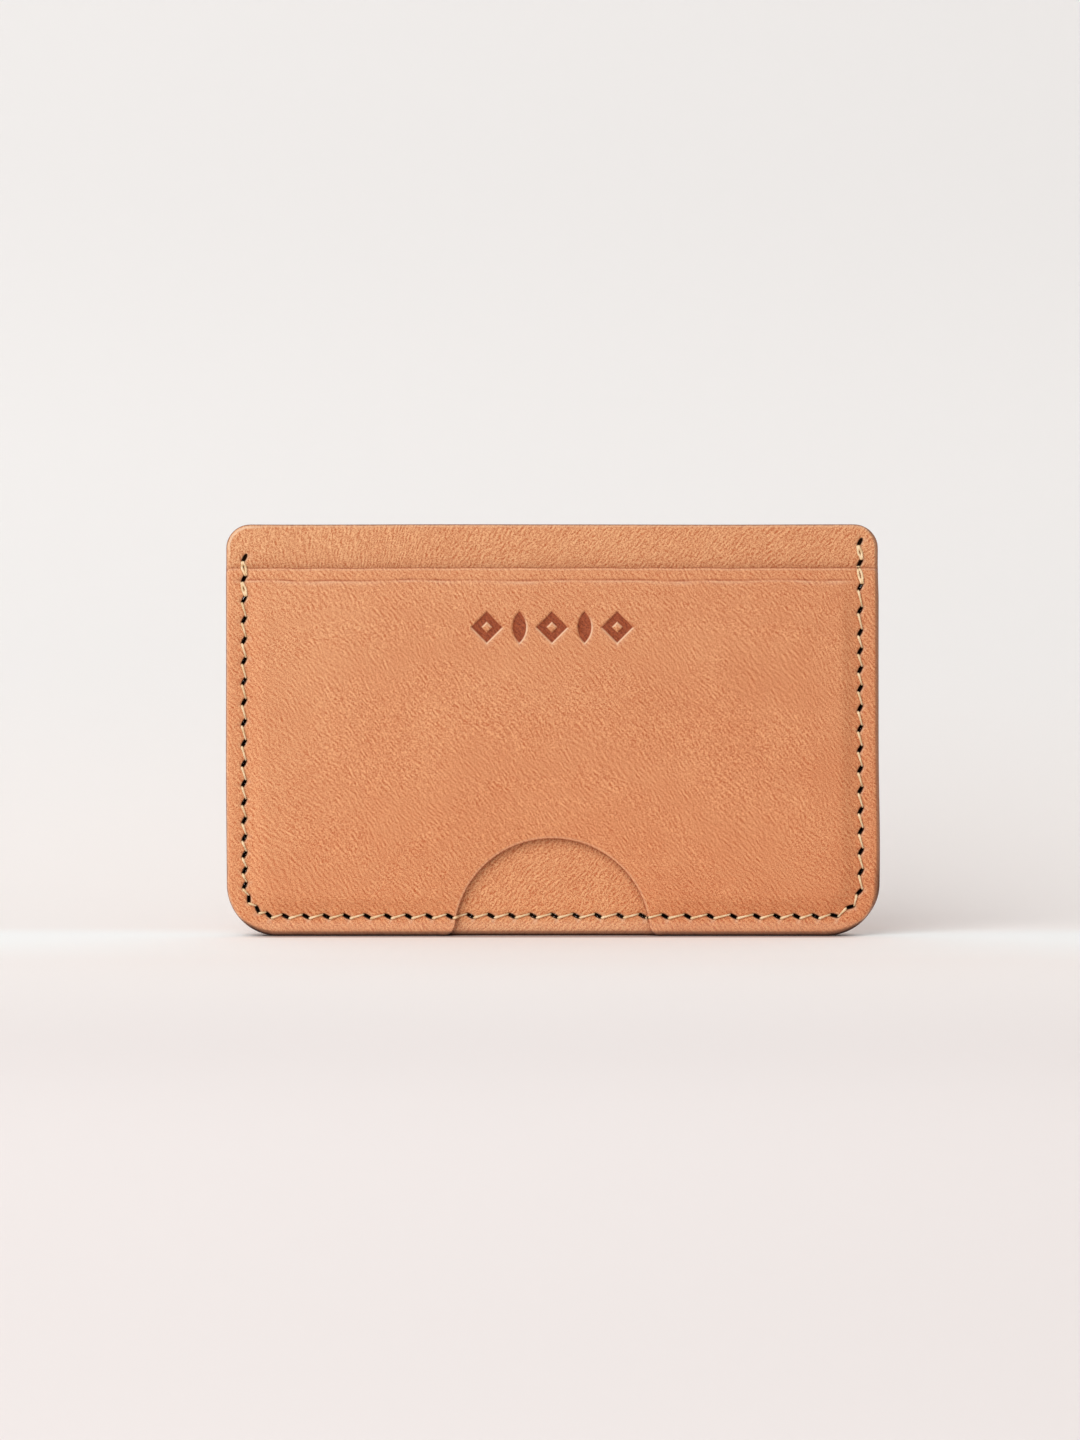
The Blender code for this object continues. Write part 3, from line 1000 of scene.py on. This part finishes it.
def smooth_path(path):
    """The path as evenly spaced points on a rounded line with their radii, and their distances."""
    line = np.array([(place[0], depth, place[1], radius) for place, depth, radius in path])
    for _ in range(ROUNDING_PASSES):
        rounded = np.empty((2 * len(line) - 2, 4))
        rounded[0::2] = line[:-1] * (1 - CORNER_CUT) + line[1:] * CORNER_CUT
        rounded[1::2] = line[:-1] * CORNER_CUT + line[1:] * (1 - CORNER_CUT)
        line = np.vstack((line[:1], rounded, line[-1:]))
    steps = np.linalg.norm(np.diff(line[:, :3], axis=0), axis=1)
    line = line[np.concatenate(([True], steps > TINY))]
    steps = np.linalg.norm(np.diff(line[:, :3], axis=0), axis=1)
    distance = np.concatenate(([0.0], np.cumsum(steps)))
    even = np.linspace(0, distance[-1], max(2, int(distance[-1] / THREAD_SPACING)))
    return np.column_stack([np.interp(even, distance, line[:, axis]) for axis in range(4)]), even


def sweep(line, distance):
    """A closed tube along a line whose section is a three-ply twist."""
    tangents = np.gradient(line[:, :3], axis=0)
    tangents /= np.linalg.norm(tangents, axis=1)[:, None]
    normal = np.cross(tangents[0], (0.0, 1.0, 0.0))
    if np.linalg.norm(normal) < 0.1:
        normal = np.cross(tangents[0], (1.0, 0.0, 0.0))
    turns = np.linspace(0, math.tau, THREAD_SIDES, endpoint=False)
    vertices = []
    for center, tangent, along in zip(line, tangents, distance):
        normal = normal - tangent * (normal @ tangent)
        normal /= np.linalg.norm(normal)
        binormal = np.cross(tangent, normal)
        swell = 1 + PLY_RELIEF * np.cos(PLIES * (turns - math.tau * along / TWIST_LENGTH))
        reach = center[3] * swell
        vertices.append(center[:3] + np.outer(reach * np.cos(turns), normal)
                        + np.outer(reach * np.sin(turns), binormal))
    faces = []
    last = (len(line) - 1) * THREAD_SIDES
    for low in range(0, last, THREAD_SIDES):
        high = low + THREAD_SIDES
        for side in range(THREAD_SIDES):
            following = (side + 1) % THREAD_SIDES
            faces.append((low + side, low + following, high + following, high + side))
    faces.append(tuple(range(THREAD_SIDES)))
    faces.append(tuple(range(last, last + THREAD_SIDES)))
    return np.vstack(vertices), faces


def make_thread(node, side, material):
    """One thread of the seam."""
    line, distance = smooth_path(thread_path(side))
    vertices, faces = sweep(line, distance)
    piece = add_mesh("waxed_" + node, hand_cut(vertices), faces, [material])
    levels = np.array([face_level((x, z), side) for x, z in line[:, [0, 2]]])
    shallow, deep = SUNK_DEPTHS
    # Painted shade: dark where the thread lies deep in a hole, and darker where it is thin.
    thread_shade = smoothstep(levels - shallow, levels - deep, side * line[:, 1])
    thread_shade = np.maximum(thread_shade, THIN_SHADE * smoothstep(*THIN_SHARES, line[:, 3] / THREAD_RADIUS))
    shade = piece.data.attributes.new("thread_shade", "FLOAT", "POINT")
    shade.data.foreach_set("value", np.repeat(thread_shade, THREAD_SIDES).astype(np.float32))
    stand_in(piece, node)


# === Materials ===

# Colours. Without a fourth number they are factors on the channels of another colour.
# Pressed colour, also used for the painted shade that the front panel's edge casts on the middle panel.
PRESSED_AND_SHADE_TONE = (0.40, 0.105, 0.040, 1.0)
PRESSED_AND_SHADE_VALLEY = (0.70, 0.60, 0.50)
PRESSED_AND_SHADE_TIP = (1.30, 1.45, 1.60)
STAINED = (0.29, 0.051, 0.011, 1.0)
STAINED_VALLEY = (0.65, 0.55, 0.45)
STAINED_TIP = (1.40, 1.70, 2.0)
# Edge brown: real burnishing, and painted shade where it widens on the right and at the foot.
BURNISH_AND_SHADE_BROWN = (0.17, 0.060, 0.028, 1.0)
# Near black: painted shade at the foot and in the holes, and the darkening of the worn spot.
WORN_AND_SHADED_DARK = (0.035, 0.009, 0.004, 1.0)
PATCH = (0.97, 0.86, 0.80)
LOW_DOWN = (1.01, 0.94, 0.89)
GRAIN_TIP = (1.25, 1.60, 1.85)
GRAIN_VALLEY = (0.72, 0.46, 0.32)
# Near white tint of the painted highlights.
PAINTED_HIGHLIGHT_TINT = (1.22, 1.95, 3.0)
FLESH_PALE = (0.55, 0.32, 0.18, 1.0)
FLESH_DEEP = (0.42, 0.22, 0.11, 1.0)
FLESH_FIBRE = (0.68, 0.46, 0.29, 1.0)
THREAD_PALE = (1.0, 0.78, 0.50, 1.0)
THREAD_DEEP = (0.84, 0.60, 0.33, 1.0)
THREAD_GROOVE = (0.40, 0.23, 0.09, 1.0)
# Painted shade of the thread deep in the holes.
THREAD_SHADE_DARK = (0.05, 0.022, 0.010, 1.0)

# Patterns: lengths in metres, scales in features per metre, angles in radians.
GRAIN_TOP = 0.056
GRAIN_SCALE = 1300.0
GRAIN_FREQUENCY = 1.27
GRAIN_BEND = (60.0, 0.004)
STROKE_GAIN = 1.5
SPECKLE_SCALE = 7500.0
SPECKLE_GAIN = 2.2
TURN_PLACES = (-0.040, -0.012)
GRAIN_DEPTH = 0.00004
FLESH_FIBRE_ANGLE = 0.6
FLESH_FIBRE_STRETCH = 3.0
FLESH_DEPTH = 0.00015
THREAD_DEPTH = 0.00005


def add(tree, kind, inputs=None, **settings):
    """A node with its settings made and its inputs set to values or linked to sockets."""
    node = tree.nodes.new(kind)
    for name, value in settings.items():
        setattr(node, name, value)
    for key, value in (inputs or {}).items():
        if isinstance(value, bpy.types.NodeSocket):
            tree.links.new(value, node.inputs[key])
        else:
            node.inputs[key].default_value = value
    return node


def blank_material(name):
    """A node material with nothing but its output."""
    material = bpy.data.materials.new(name)
    material.use_nodes = True
    material.node_tree.nodes.clear()
    return material, material.node_tree


def math_node(tree, operation, first, second=0.0, clamp=False):
    """The result of a sum, product or other operation on two values."""
    node = add(tree, "ShaderNodeMath", {0: first, 1: second}, operation=operation, use_clamp=clamp)
    return node.outputs[0]


def product(tree, first, *others):
    """Values multiplied together."""
    for other in others:
        first = math_node(tree, "MULTIPLY", first, other)
    return first


def less(tree, value, amount, share):
    """A value less a share of an amount."""
    return math_node(tree, "SUBTRACT", value, product(tree, amount, share))


def axis(tree, place, name):
    """One coordinate of a place."""
    return add(tree, "ShaderNodeSeparateXYZ", {0: place}).outputs[name]


def object_place(tree):
    """Coordinates on a piece, in metres."""
    return add(tree, "ShaderNodeTexCoord").outputs["Object"]


def vector_node(tree, operation, inputs):
    """The result of an operation on vectors."""
    return add(tree, "ShaderNodeVectorMath", inputs, operation=operation).outputs[0]


def bump(tree, height, strength, depth):
    """Normals of a relief of a depth in metres."""
    inputs = {"Strength": strength, "Distance": depth, "Height": height}
    return add(tree, "ShaderNodeBump", inputs).outputs[0]


def principled(tree, inputs):
    """Ends a material in a Principled shader."""
    shader = add(tree, "ShaderNodeBsdfPrincipled", inputs)
    add(tree, "ShaderNodeOutputMaterial", {"Surface": shader.outputs[0]})


def ramp(tree, value, low, high, start=0.0, end=1.0):
    """A value mapped smoothly from one range to another."""
    node = add(tree, "ShaderNodeMapRange", {
        "Value": value, "From Min": low, "From Max": high, "To Min": start, "To Max": end,
    })
    node.interpolation_type = "SMOOTHSTEP"
    return node.outputs["Result"]


def mix_color(tree, share, first, second, blend="MIX"):
    """Two colours mixed."""
    node = add(tree, "ShaderNodeMix", data_type="RGBA", blend_type=blend)
    for socket, value in ((node.inputs[0], share), (node.inputs[6], first), (node.inputs[7], second)):
        if isinstance(value, bpy.types.NodeSocket):
            tree.links.new(value, socket)
        else:
            socket.default_value = value
    return node.outputs[2]


def noise(tree, place, scale, detail=2.0, roughness=0.5, distortion=0.0):
    """Fractal noise from 0 to 1. The scale counts features per metre."""
    return add(tree, "ShaderNodeTexNoise", {
        "Vector": place, "Scale": scale, "Detail": detail, "Roughness": roughness,
        "Distortion": distortion,
    }).outputs["Fac"]


def face_plane(tree, place, height=0.0):
    """Coordinates across and up the panels, flat, measured from a height."""
    parts = add(tree, "ShaderNodeSeparateXYZ", {0: place}).outputs
    up = math_node(tree, "SUBTRACT", parts["Z"], height)
    return add(tree, "ShaderNodeCombineXYZ", {"X": parts["X"], "Y": up}).outputs[0]


def turned(tree, flat, angle):
    """Flat coordinates whose first axis lies at an angle from the horizontal."""
    inputs = {"Vector": flat, "Angle": product(tree, angle, -1.0)}
    return add(tree, "ShaderNodeVectorRotate", inputs, rotation_type="Z_AXIS").outputs[0]


def wander(tree, place, scale, reach):
    """Coordinates pushed about by noise of a scale, so that a pattern on them bends."""
    inputs = {"Vector": place, "Scale": scale, "Detail": 1.0}
    push = add(tree, "ShaderNodeTexNoise", inputs).outputs["Color"]
    push = vector_node(tree, "SUBTRACT", {0: push, 1: (0.5, 0.5, 0.5)})
    push = vector_node(tree, "SCALE", {0: push, "Scale": reach})
    return vector_node(tree, "ADD", {0: place, 1: push})


def centred(tree, value, gain):
    """A value from 0 to 1 moved to lie round 0, times a gain."""
    return product(tree, math_node(tree, "SUBTRACT", value, 0.5), gain)


def shifted(color, factors):
    """A colour with its channels scaled."""
    return tuple(channel * factor for channel, factor in zip(color, factors)) + (1.0,)


def multiplied(tree, color, factors, share=1.0):
    """A colour with its channels scaled by a share."""
    return mix_color(tree, share, color, (*factors, 1.0), "MULTIPLY")


def grained(tree, grain, color, valley, tip):
    """A colour that changes from the valleys of the grain to its tips."""
    return mix_color(tree, grain, shifted(color, valley), shifted(color, tip))


def grain_relief(tree, place, angles):
    """Relief round 0: strokes that turn from one angle on the left to another, and fine speckle."""
    left_angle, angle = (math.radians(degrees) for degrees in angles)
    turn = ramp(tree, axis(tree, place, "X"), *TURN_PLACES, left_angle, angle)
    bent = wander(tree, face_plane(tree, place, GRAIN_TOP), *GRAIN_BEND)
    strokes = add(tree, "ShaderNodeTexGabor", {
        "Vector": turned(tree, bent, turn), "Scale": GRAIN_SCALE, "Frequency": GRAIN_FREQUENCY,
        "Anisotropy": 0.9, 4: math.pi / 2,
    }, gabor_type="2D").outputs["Value"]
    speckle = noise(tree, place, SPECKLE_SCALE, 0.0)
    strokes, speckle = centred(tree, strokes, STROKE_GAIN), centred(tree, speckle, SPECKLE_GAIN)
    return math_node(tree, "ADD", strokes, speckle)


def tan_color(tree, place, grain, pale, deep):
    """The leather's colour before it is finished: deeper to the right as painted shade, in clouds and
    low down.
    """
    clouds = noise(tree, place, 75.0, 4.0, 0.55, 0.4)
    patches = noise(tree, place, 260.0, 3.0, 0.6)
    shade_to_right = ramp(tree, axis(tree, place, "X"), -0.06, 0.06, 0.0, 0.6)
    depth = math_node(tree, "ADD", shade_to_right, ramp(tree, clouds, 0.3, 0.7, 0.0, 0.4))
    color = mix_color(tree, depth, pale, deep)
    color = mix_color(tree, ramp(tree, patches, 0.40, 0.75, 0.0, 0.20), color, shifted(deep, PATCH))
    color = multiplied(tree, color, LOW_DOWN, ramp(tree, axis(tree, place, "Z"), 0.055, 0.0))
    valley, tip = multiplied(tree, color, GRAIN_VALLEY), multiplied(tree, color, GRAIN_TIP)
    return mix_color(tree, grain, valley, tip)


def leather_material(name, pale, deep, angles, contrast):
    """Natural tan leather: stroked grain, clouds of colour, burnished edges, pressed marks, and painted
    shade and highlights from the vertex colours.
    """
    material, tree = blank_material(name)
    place = object_place(tree)
    finish_and_painted_light = add(tree, "ShaderNodeVertexColor", layer_name="finish_and_painted_light").outputs
    burnish_and_shade, press_and_shade, dark_wear_and_shade = add(tree, "ShaderNodeSeparateColor", {0: finish_and_painted_light["Color"]}).outputs
    polish_and_painted_highlight = finish_and_painted_light["Alpha"]
    relief = grain_relief(tree, place, angles)
    grain = math_node(tree, "ADD", product(tree, relief, contrast), 0.5, clamp=True)

    color = tan_color(tree, place, grain, pale, deep)
    # Painted highlights, then pressed colour and painted shade, edge burnishing and painted shade, and
    # near black painted shade.
    color = mix_color(tree, polish_and_painted_highlight, color, shifted(pale, PAINTED_HIGHLIGHT_TINT))
    color = mix_color(tree, press_and_shade, color, grained(tree, grain, PRESSED_AND_SHADE_TONE, PRESSED_AND_SHADE_VALLEY, PRESSED_AND_SHADE_TIP))
    stained = grained(tree, grain, STAINED, STAINED_VALLEY, STAINED_TIP)
    color = mix_color(tree, ramp(tree, press_and_shade, 0.90, 1.0), color, stained)
    color = mix_color(tree, product(tree, burnish_and_shade, 0.85), color, BURNISH_AND_SHADE_BROWN)
    color = mix_color(tree, dark_wear_and_shade, color, WORN_AND_SHADED_DARK)

    roughness = ramp(tree, grain, 0.0, 1.0, 0.60, 0.48)
    roughness = less(tree, less(tree, roughness, burnish_and_shade, 0.18), polish_and_painted_highlight, 0.12)
    roughness = math_node(tree, "ADD", roughness, product(tree, dark_wear_and_shade, 0.30))
    principled(tree, {
        "Base Color": color, "Roughness": roughness,
        "Normal": bump(tree, relief, less(tree, 1.0, burnish_and_shade, 0.8), GRAIN_DEPTH),
        "Specular IOR Level": ramp(tree, dark_wear_and_shade, 0.0, 0.8, 0.35, 0.08),
        "Sheen Weight": 0.05, "Sheen Roughness": 0.5,
    })
    return material


def flesh_material():
    """The suede-like inner side of the leather."""
    material, tree = blank_material("flesh_side")
    place = object_place(tree)
    lengthwise = turned(tree, face_plane(tree, place), FLESH_FIBRE_ANGLE)
    stretched = {0: lengthwise, 1: (1.0 / FLESH_FIBRE_STRETCH, 1.0, 1.0)}
    fibres = noise(tree, vector_node(tree, "MULTIPLY", stretched), 2600.0, 4.0, 0.7)
    clouds = noise(tree, place, 240.0, 3.0)
    color = mix_color(tree, ramp(tree, clouds, 0.3, 0.7), FLESH_PALE, FLESH_DEEP)
    color = mix_color(tree, ramp(tree, fibres, 0.35, 0.7, 0.0, 0.45), color, FLESH_FIBRE)
    principled(tree, {
        "Base Color": color, "Roughness": 0.92, "Normal": bump(tree, fibres, 0.6, FLESH_DEPTH),
        "Specular IOR Level": 0.15, "Sheen Weight": 0.35, "Sheen Roughness": 0.6,
    })
    return material


def thread_material():
    """Waxed straw-coloured thread with fibres, a soft gleam, and painted shade deep in the holes and
    where it is thin.
    """
    material, tree = blank_material("waxed_thread")
    place = object_place(tree)
    fibres = noise(tree, place, 9000.0, 3.0, 0.7)
    shade = noise(tree, place, 1300.0, 2.0)
    thread_shade = add(tree, "ShaderNodeAttribute", attribute_name="thread_shade").outputs["Fac"]
    color = mix_color(tree, ramp(tree, shade, 0.35, 0.65), THREAD_PALE, THREAD_DEEP)
    color = mix_color(tree, ramp(tree, fibres, 0.55, 0.35, 0.0, 0.4), color, THREAD_GROOVE)
    principled(tree, {
        "Base Color": mix_color(tree, thread_shade, color, THREAD_SHADE_DARK), "Roughness": 0.42,
        "Normal": bump(tree, fibres, 0.5, THREAD_DEPTH),
        "Specular IOR Level": ramp(tree, thread_shade, 0.3, 0.9, 0.5, 0.05),
    })
    return material


# === Studio ===

FRAME_WIDTH = 157.6
FRAME_HEIGHT = FRAME_WIDTH * 4 / 3
AIM = (-1.75, 0.0, 31.48)
CAMERA_RISE = math.radians(2.0)
CAMERA_DISTANCE = 1000.0
SENSOR = 36.0

SWEEP_REACH = 2500.0
SWEEP_TOP = 2500.0
CURVE_START = 30.0
CURVE_RADIUS = 300.0
CURVE_STEPS = 24

# Painted pool of light: the floor grows paler towards the holder, and the wall is paler near the floor.
FAR_FLOOR_TINT = (0.745, 0.712, 0.712, 1.0)
FLOOR_TINT = (0.840, 0.805, 0.805, 1.0)
LIT_NEAR_FLOOR_TINT = (0.935, 0.915, 0.910, 1.0)
LIT_CONTACT_TINT = (0.960, 0.985, 0.995, 1.0)
# Painted shadow just in front of the holder's foot.
FOOT_SHADOW_TINT = (0.50, 0.42, 0.40, 1.0)
WALL_TINT = (0.890, 0.892, 0.896, 1.0)
HIGH_WALL_TINT = (0.855, 0.857, 0.861, 1.0)

# Where each tint of the floor or the wall starts and where it is full, in metres.
FLOOR_RISE = (-0.55, -0.25)
NEAR_RISE = (-0.22, -0.03)
CONTACT_RISE = (-0.060, -0.008)
CONTACT_END = (0.020, 0.0)
FOOT_RISE = (-0.0056, -0.0036)
FOOT_END = (0.006, 0.003)
FOOT_SIDES = (0.046, 0.040)
WALL_RISE = (0.0, 0.04)
HIGH_WALL_RISE = (0.06, 0.13)

SKY = (0.90, 0.87, 0.845, 1.0)
SKY_STRENGTH = 0.68
SKY_LEAN = 0.5
KEY_POWER = 7.4
KEY_COLOR = (1.0, 0.975, 0.95)
KEY_SIZE = 0.9
KEY_PLACE = (-0.41, -0.87, 0.65)
KEY_AIM = (0.0, 0.0, 0.03)


def make_camera():
    """A long lens almost level with the middle of the holder."""
    data = bpy.data.cameras.new("studio_camera")
    data.sensor_width = SENSOR
    data.sensor_fit = "AUTO"
    data.lens = SENSOR * CAMERA_DISTANCE / FRAME_HEIGHT
    data.clip_start, data.clip_end = 0.05, 20.0
    camera = new_object("studio_camera", data)
    back_off = Vector((0.0, -math.cos(CAMERA_RISE), math.sin(CAMERA_RISE)))
    camera.location = (Vector(AIM) + back_off * CAMERA_DISTANCE) * MM
    camera.rotation_euler = (-back_off).to_track_quat("-Z", "Y").to_euler()
    bpy.context.scene.camera = camera


def make_sweep():
    """A floor that curves up into a backdrop, seen only from its upper side."""
    profile = [(-SWEEP_REACH, 0.0), (CURVE_START, 0.0)]
    for step in range(1, CURVE_STEPS + 1):
        angle = math.pi / 2 * step / CURVE_STEPS
        rise = CURVE_RADIUS * (1 - math.cos(angle))
        profile.append((CURVE_START + CURVE_RADIUS * math.sin(angle), rise))
    profile.append((CURVE_START + CURVE_RADIUS, SWEEP_TOP))
    vertices = [(x, y, z) for y, z in profile for x in (-SWEEP_REACH, SWEEP_REACH)]
    faces = [(2 * row, 2 * row + 1, 2 * row + 3, 2 * row + 2) for row in range(len(profile) - 1)]
    behind = len(vertices)
    vertices += [(x, SWEEP_REACH, 0.0) for x in (-SWEEP_REACH, SWEEP_REACH)]
    faces.append((2, 3, behind + 1, behind))
    mesh = bpy.data.meshes.new("sweep")
    mesh.from_pydata([tuple(value * MM for value in vertex) for vertex in vertices], [], faces)
    mesh.shade_smooth()
    mesh.materials.append(sweep_material())
    new_object("sweep", mesh)


def sweep_material():
    """Pale paper with a painted pool of light round the holder and a painted shadow just in front of
    its foot, clear from behind so that it never hides the holder.
    """
    material, tree = blank_material("pale_paper")
    across, depth, height = add(tree, "ShaderNodeSeparateXYZ", {0: object_place(tree)}).outputs
    # Painted light: the floor is paler still right next to the holder.
    lit_contact = product(tree, ramp(tree, depth, *CONTACT_RISE), ramp(tree, depth, *CONTACT_END))
    seen = add(tree, "ShaderNodeLightPath").outputs["Is Camera Ray"]
    sideways = math_node(tree, "ABSOLUTE", across)
    # Painted shadow: a dark strip on the floor just in front of the foot, for camera rays only.
    foot = product(tree, ramp(tree, depth, *FOOT_RISE), ramp(tree, depth, *FOOT_END), seen,
                   ramp(tree, sideways, *FOOT_SIDES))
    color = FAR_FLOOR_TINT
    for share, tint in (
        (ramp(tree, depth, *FLOOR_RISE), FLOOR_TINT),
        (ramp(tree, depth, *NEAR_RISE), LIT_NEAR_FLOOR_TINT),
        (lit_contact, LIT_CONTACT_TINT),
        (foot, FOOT_SHADOW_TINT),
        (ramp(tree, height, *WALL_RISE), WALL_TINT),
        (ramp(tree, height, *HIGH_WALL_RISE), HIGH_WALL_TINT),
    ):
        color = mix_color(tree, share, color, tint)
    paper = add(tree, "ShaderNodeBsdfDiffuse", {"Color": color})
    clear = add(tree, "ShaderNodeBsdfTransparent")
    behind = add(tree, "ShaderNodeNewGeometry").outputs["Backfacing"]
    mixed = add(tree, "ShaderNodeMixShader", {0: behind, 1: paper.outputs[0], 2: clear.outputs[0]})
    add(tree, "ShaderNodeOutputMaterial", {"Surface": mixed.outputs[0]})
    return material


def make_lights():
    """A large soft key from the upper left, and a pale sky that is brighter on the left."""
    key = bpy.data.lights.new("key", "AREA")
    key.shape = "SQUARE"
    key.size = KEY_SIZE
    key.energy = KEY_POWER
    key.color = KEY_COLOR
    lamp = new_object("key", key)
    lamp.location = KEY_PLACE
    aim = Vector(KEY_AIM) - lamp.location
    lamp.rotation_euler = aim.to_track_quat("-Z", "Y").to_euler()

    world = bpy.data.worlds.new("studio")
    world.use_nodes = True
    tree = world.node_tree
    tree.nodes.clear()
    direction = add(tree, "ShaderNodeTexCoord").outputs["Generated"]
    lean = product(tree, axis(tree, direction, "X"), -SKY_LEAN * SKY_STRENGTH)
    strength = math_node(tree, "ADD", lean, SKY_STRENGTH)
    sky = add(tree, "ShaderNodeBackground", {"Color": SKY, "Strength": strength})
    add(tree, "ShaderNodeOutputWorld", {"Surface": sky.outputs[0]})
    bpy.context.scene.world = world
    bpy.context.scene.view_settings.view_transform = "Standard"


# === Put together ===

# Pale and deep tan of each panel, and the angles of its grain on the left and further right.
FRONT_TANS = ((0.725, 0.312, 0.137, 1.0), (0.645, 0.240, 0.097, 1.0))
MIDDLE_TANS = ((0.735, 0.334, 0.149, 1.0), (0.665, 0.268, 0.112, 1.0))
BACK_TANS = ((0.720, 0.312, 0.137, 1.0), (0.645, 0.240, 0.097, 1.0))
FRONT_GRAIN, MIDDLE_GRAIN, BACK_GRAIN = (-50, -50), (95, 50), (40, 40)
OUTER_CONTRAST, MIDDLE_CONTRAST = 0.75, 0.82

flesh = flesh_material()
front_leather = leather_material("front_leather", *FRONT_TANS, FRONT_GRAIN, OUTER_CONTRAST)
middle_leather = leather_material("middle_leather", *MIDDLE_TANS, MIDDLE_GRAIN, MIDDLE_CONTRAST)
back_leather = leather_material("back_leather", *BACK_TANS, BACK_GRAIN, OUTER_CONTRAST)

front = Panel("front_panel", FRONT, OUTER_FACE, LIP_HEIGHT, LIP_CORNER, True, True)
middle = Panel("middle_panel", FRONT, MIDDLE_FACE, HEIGHT, TOP_CORNER, False, False)
back = Panel("back_panel", BACK, OUTER_FACE, HEIGHT, TOP_CORNER, False, True)
make_panel(front, [front_leather, flesh])
make_panel(middle, [middle_leather, flesh])
make_panel(back, [back_leather, flesh])

thread_look = thread_material()
make_thread("front_thread", FRONT, thread_look)
make_thread("back_thread", BACK, thread_look)

make_sweep()
make_lights()
make_camera()
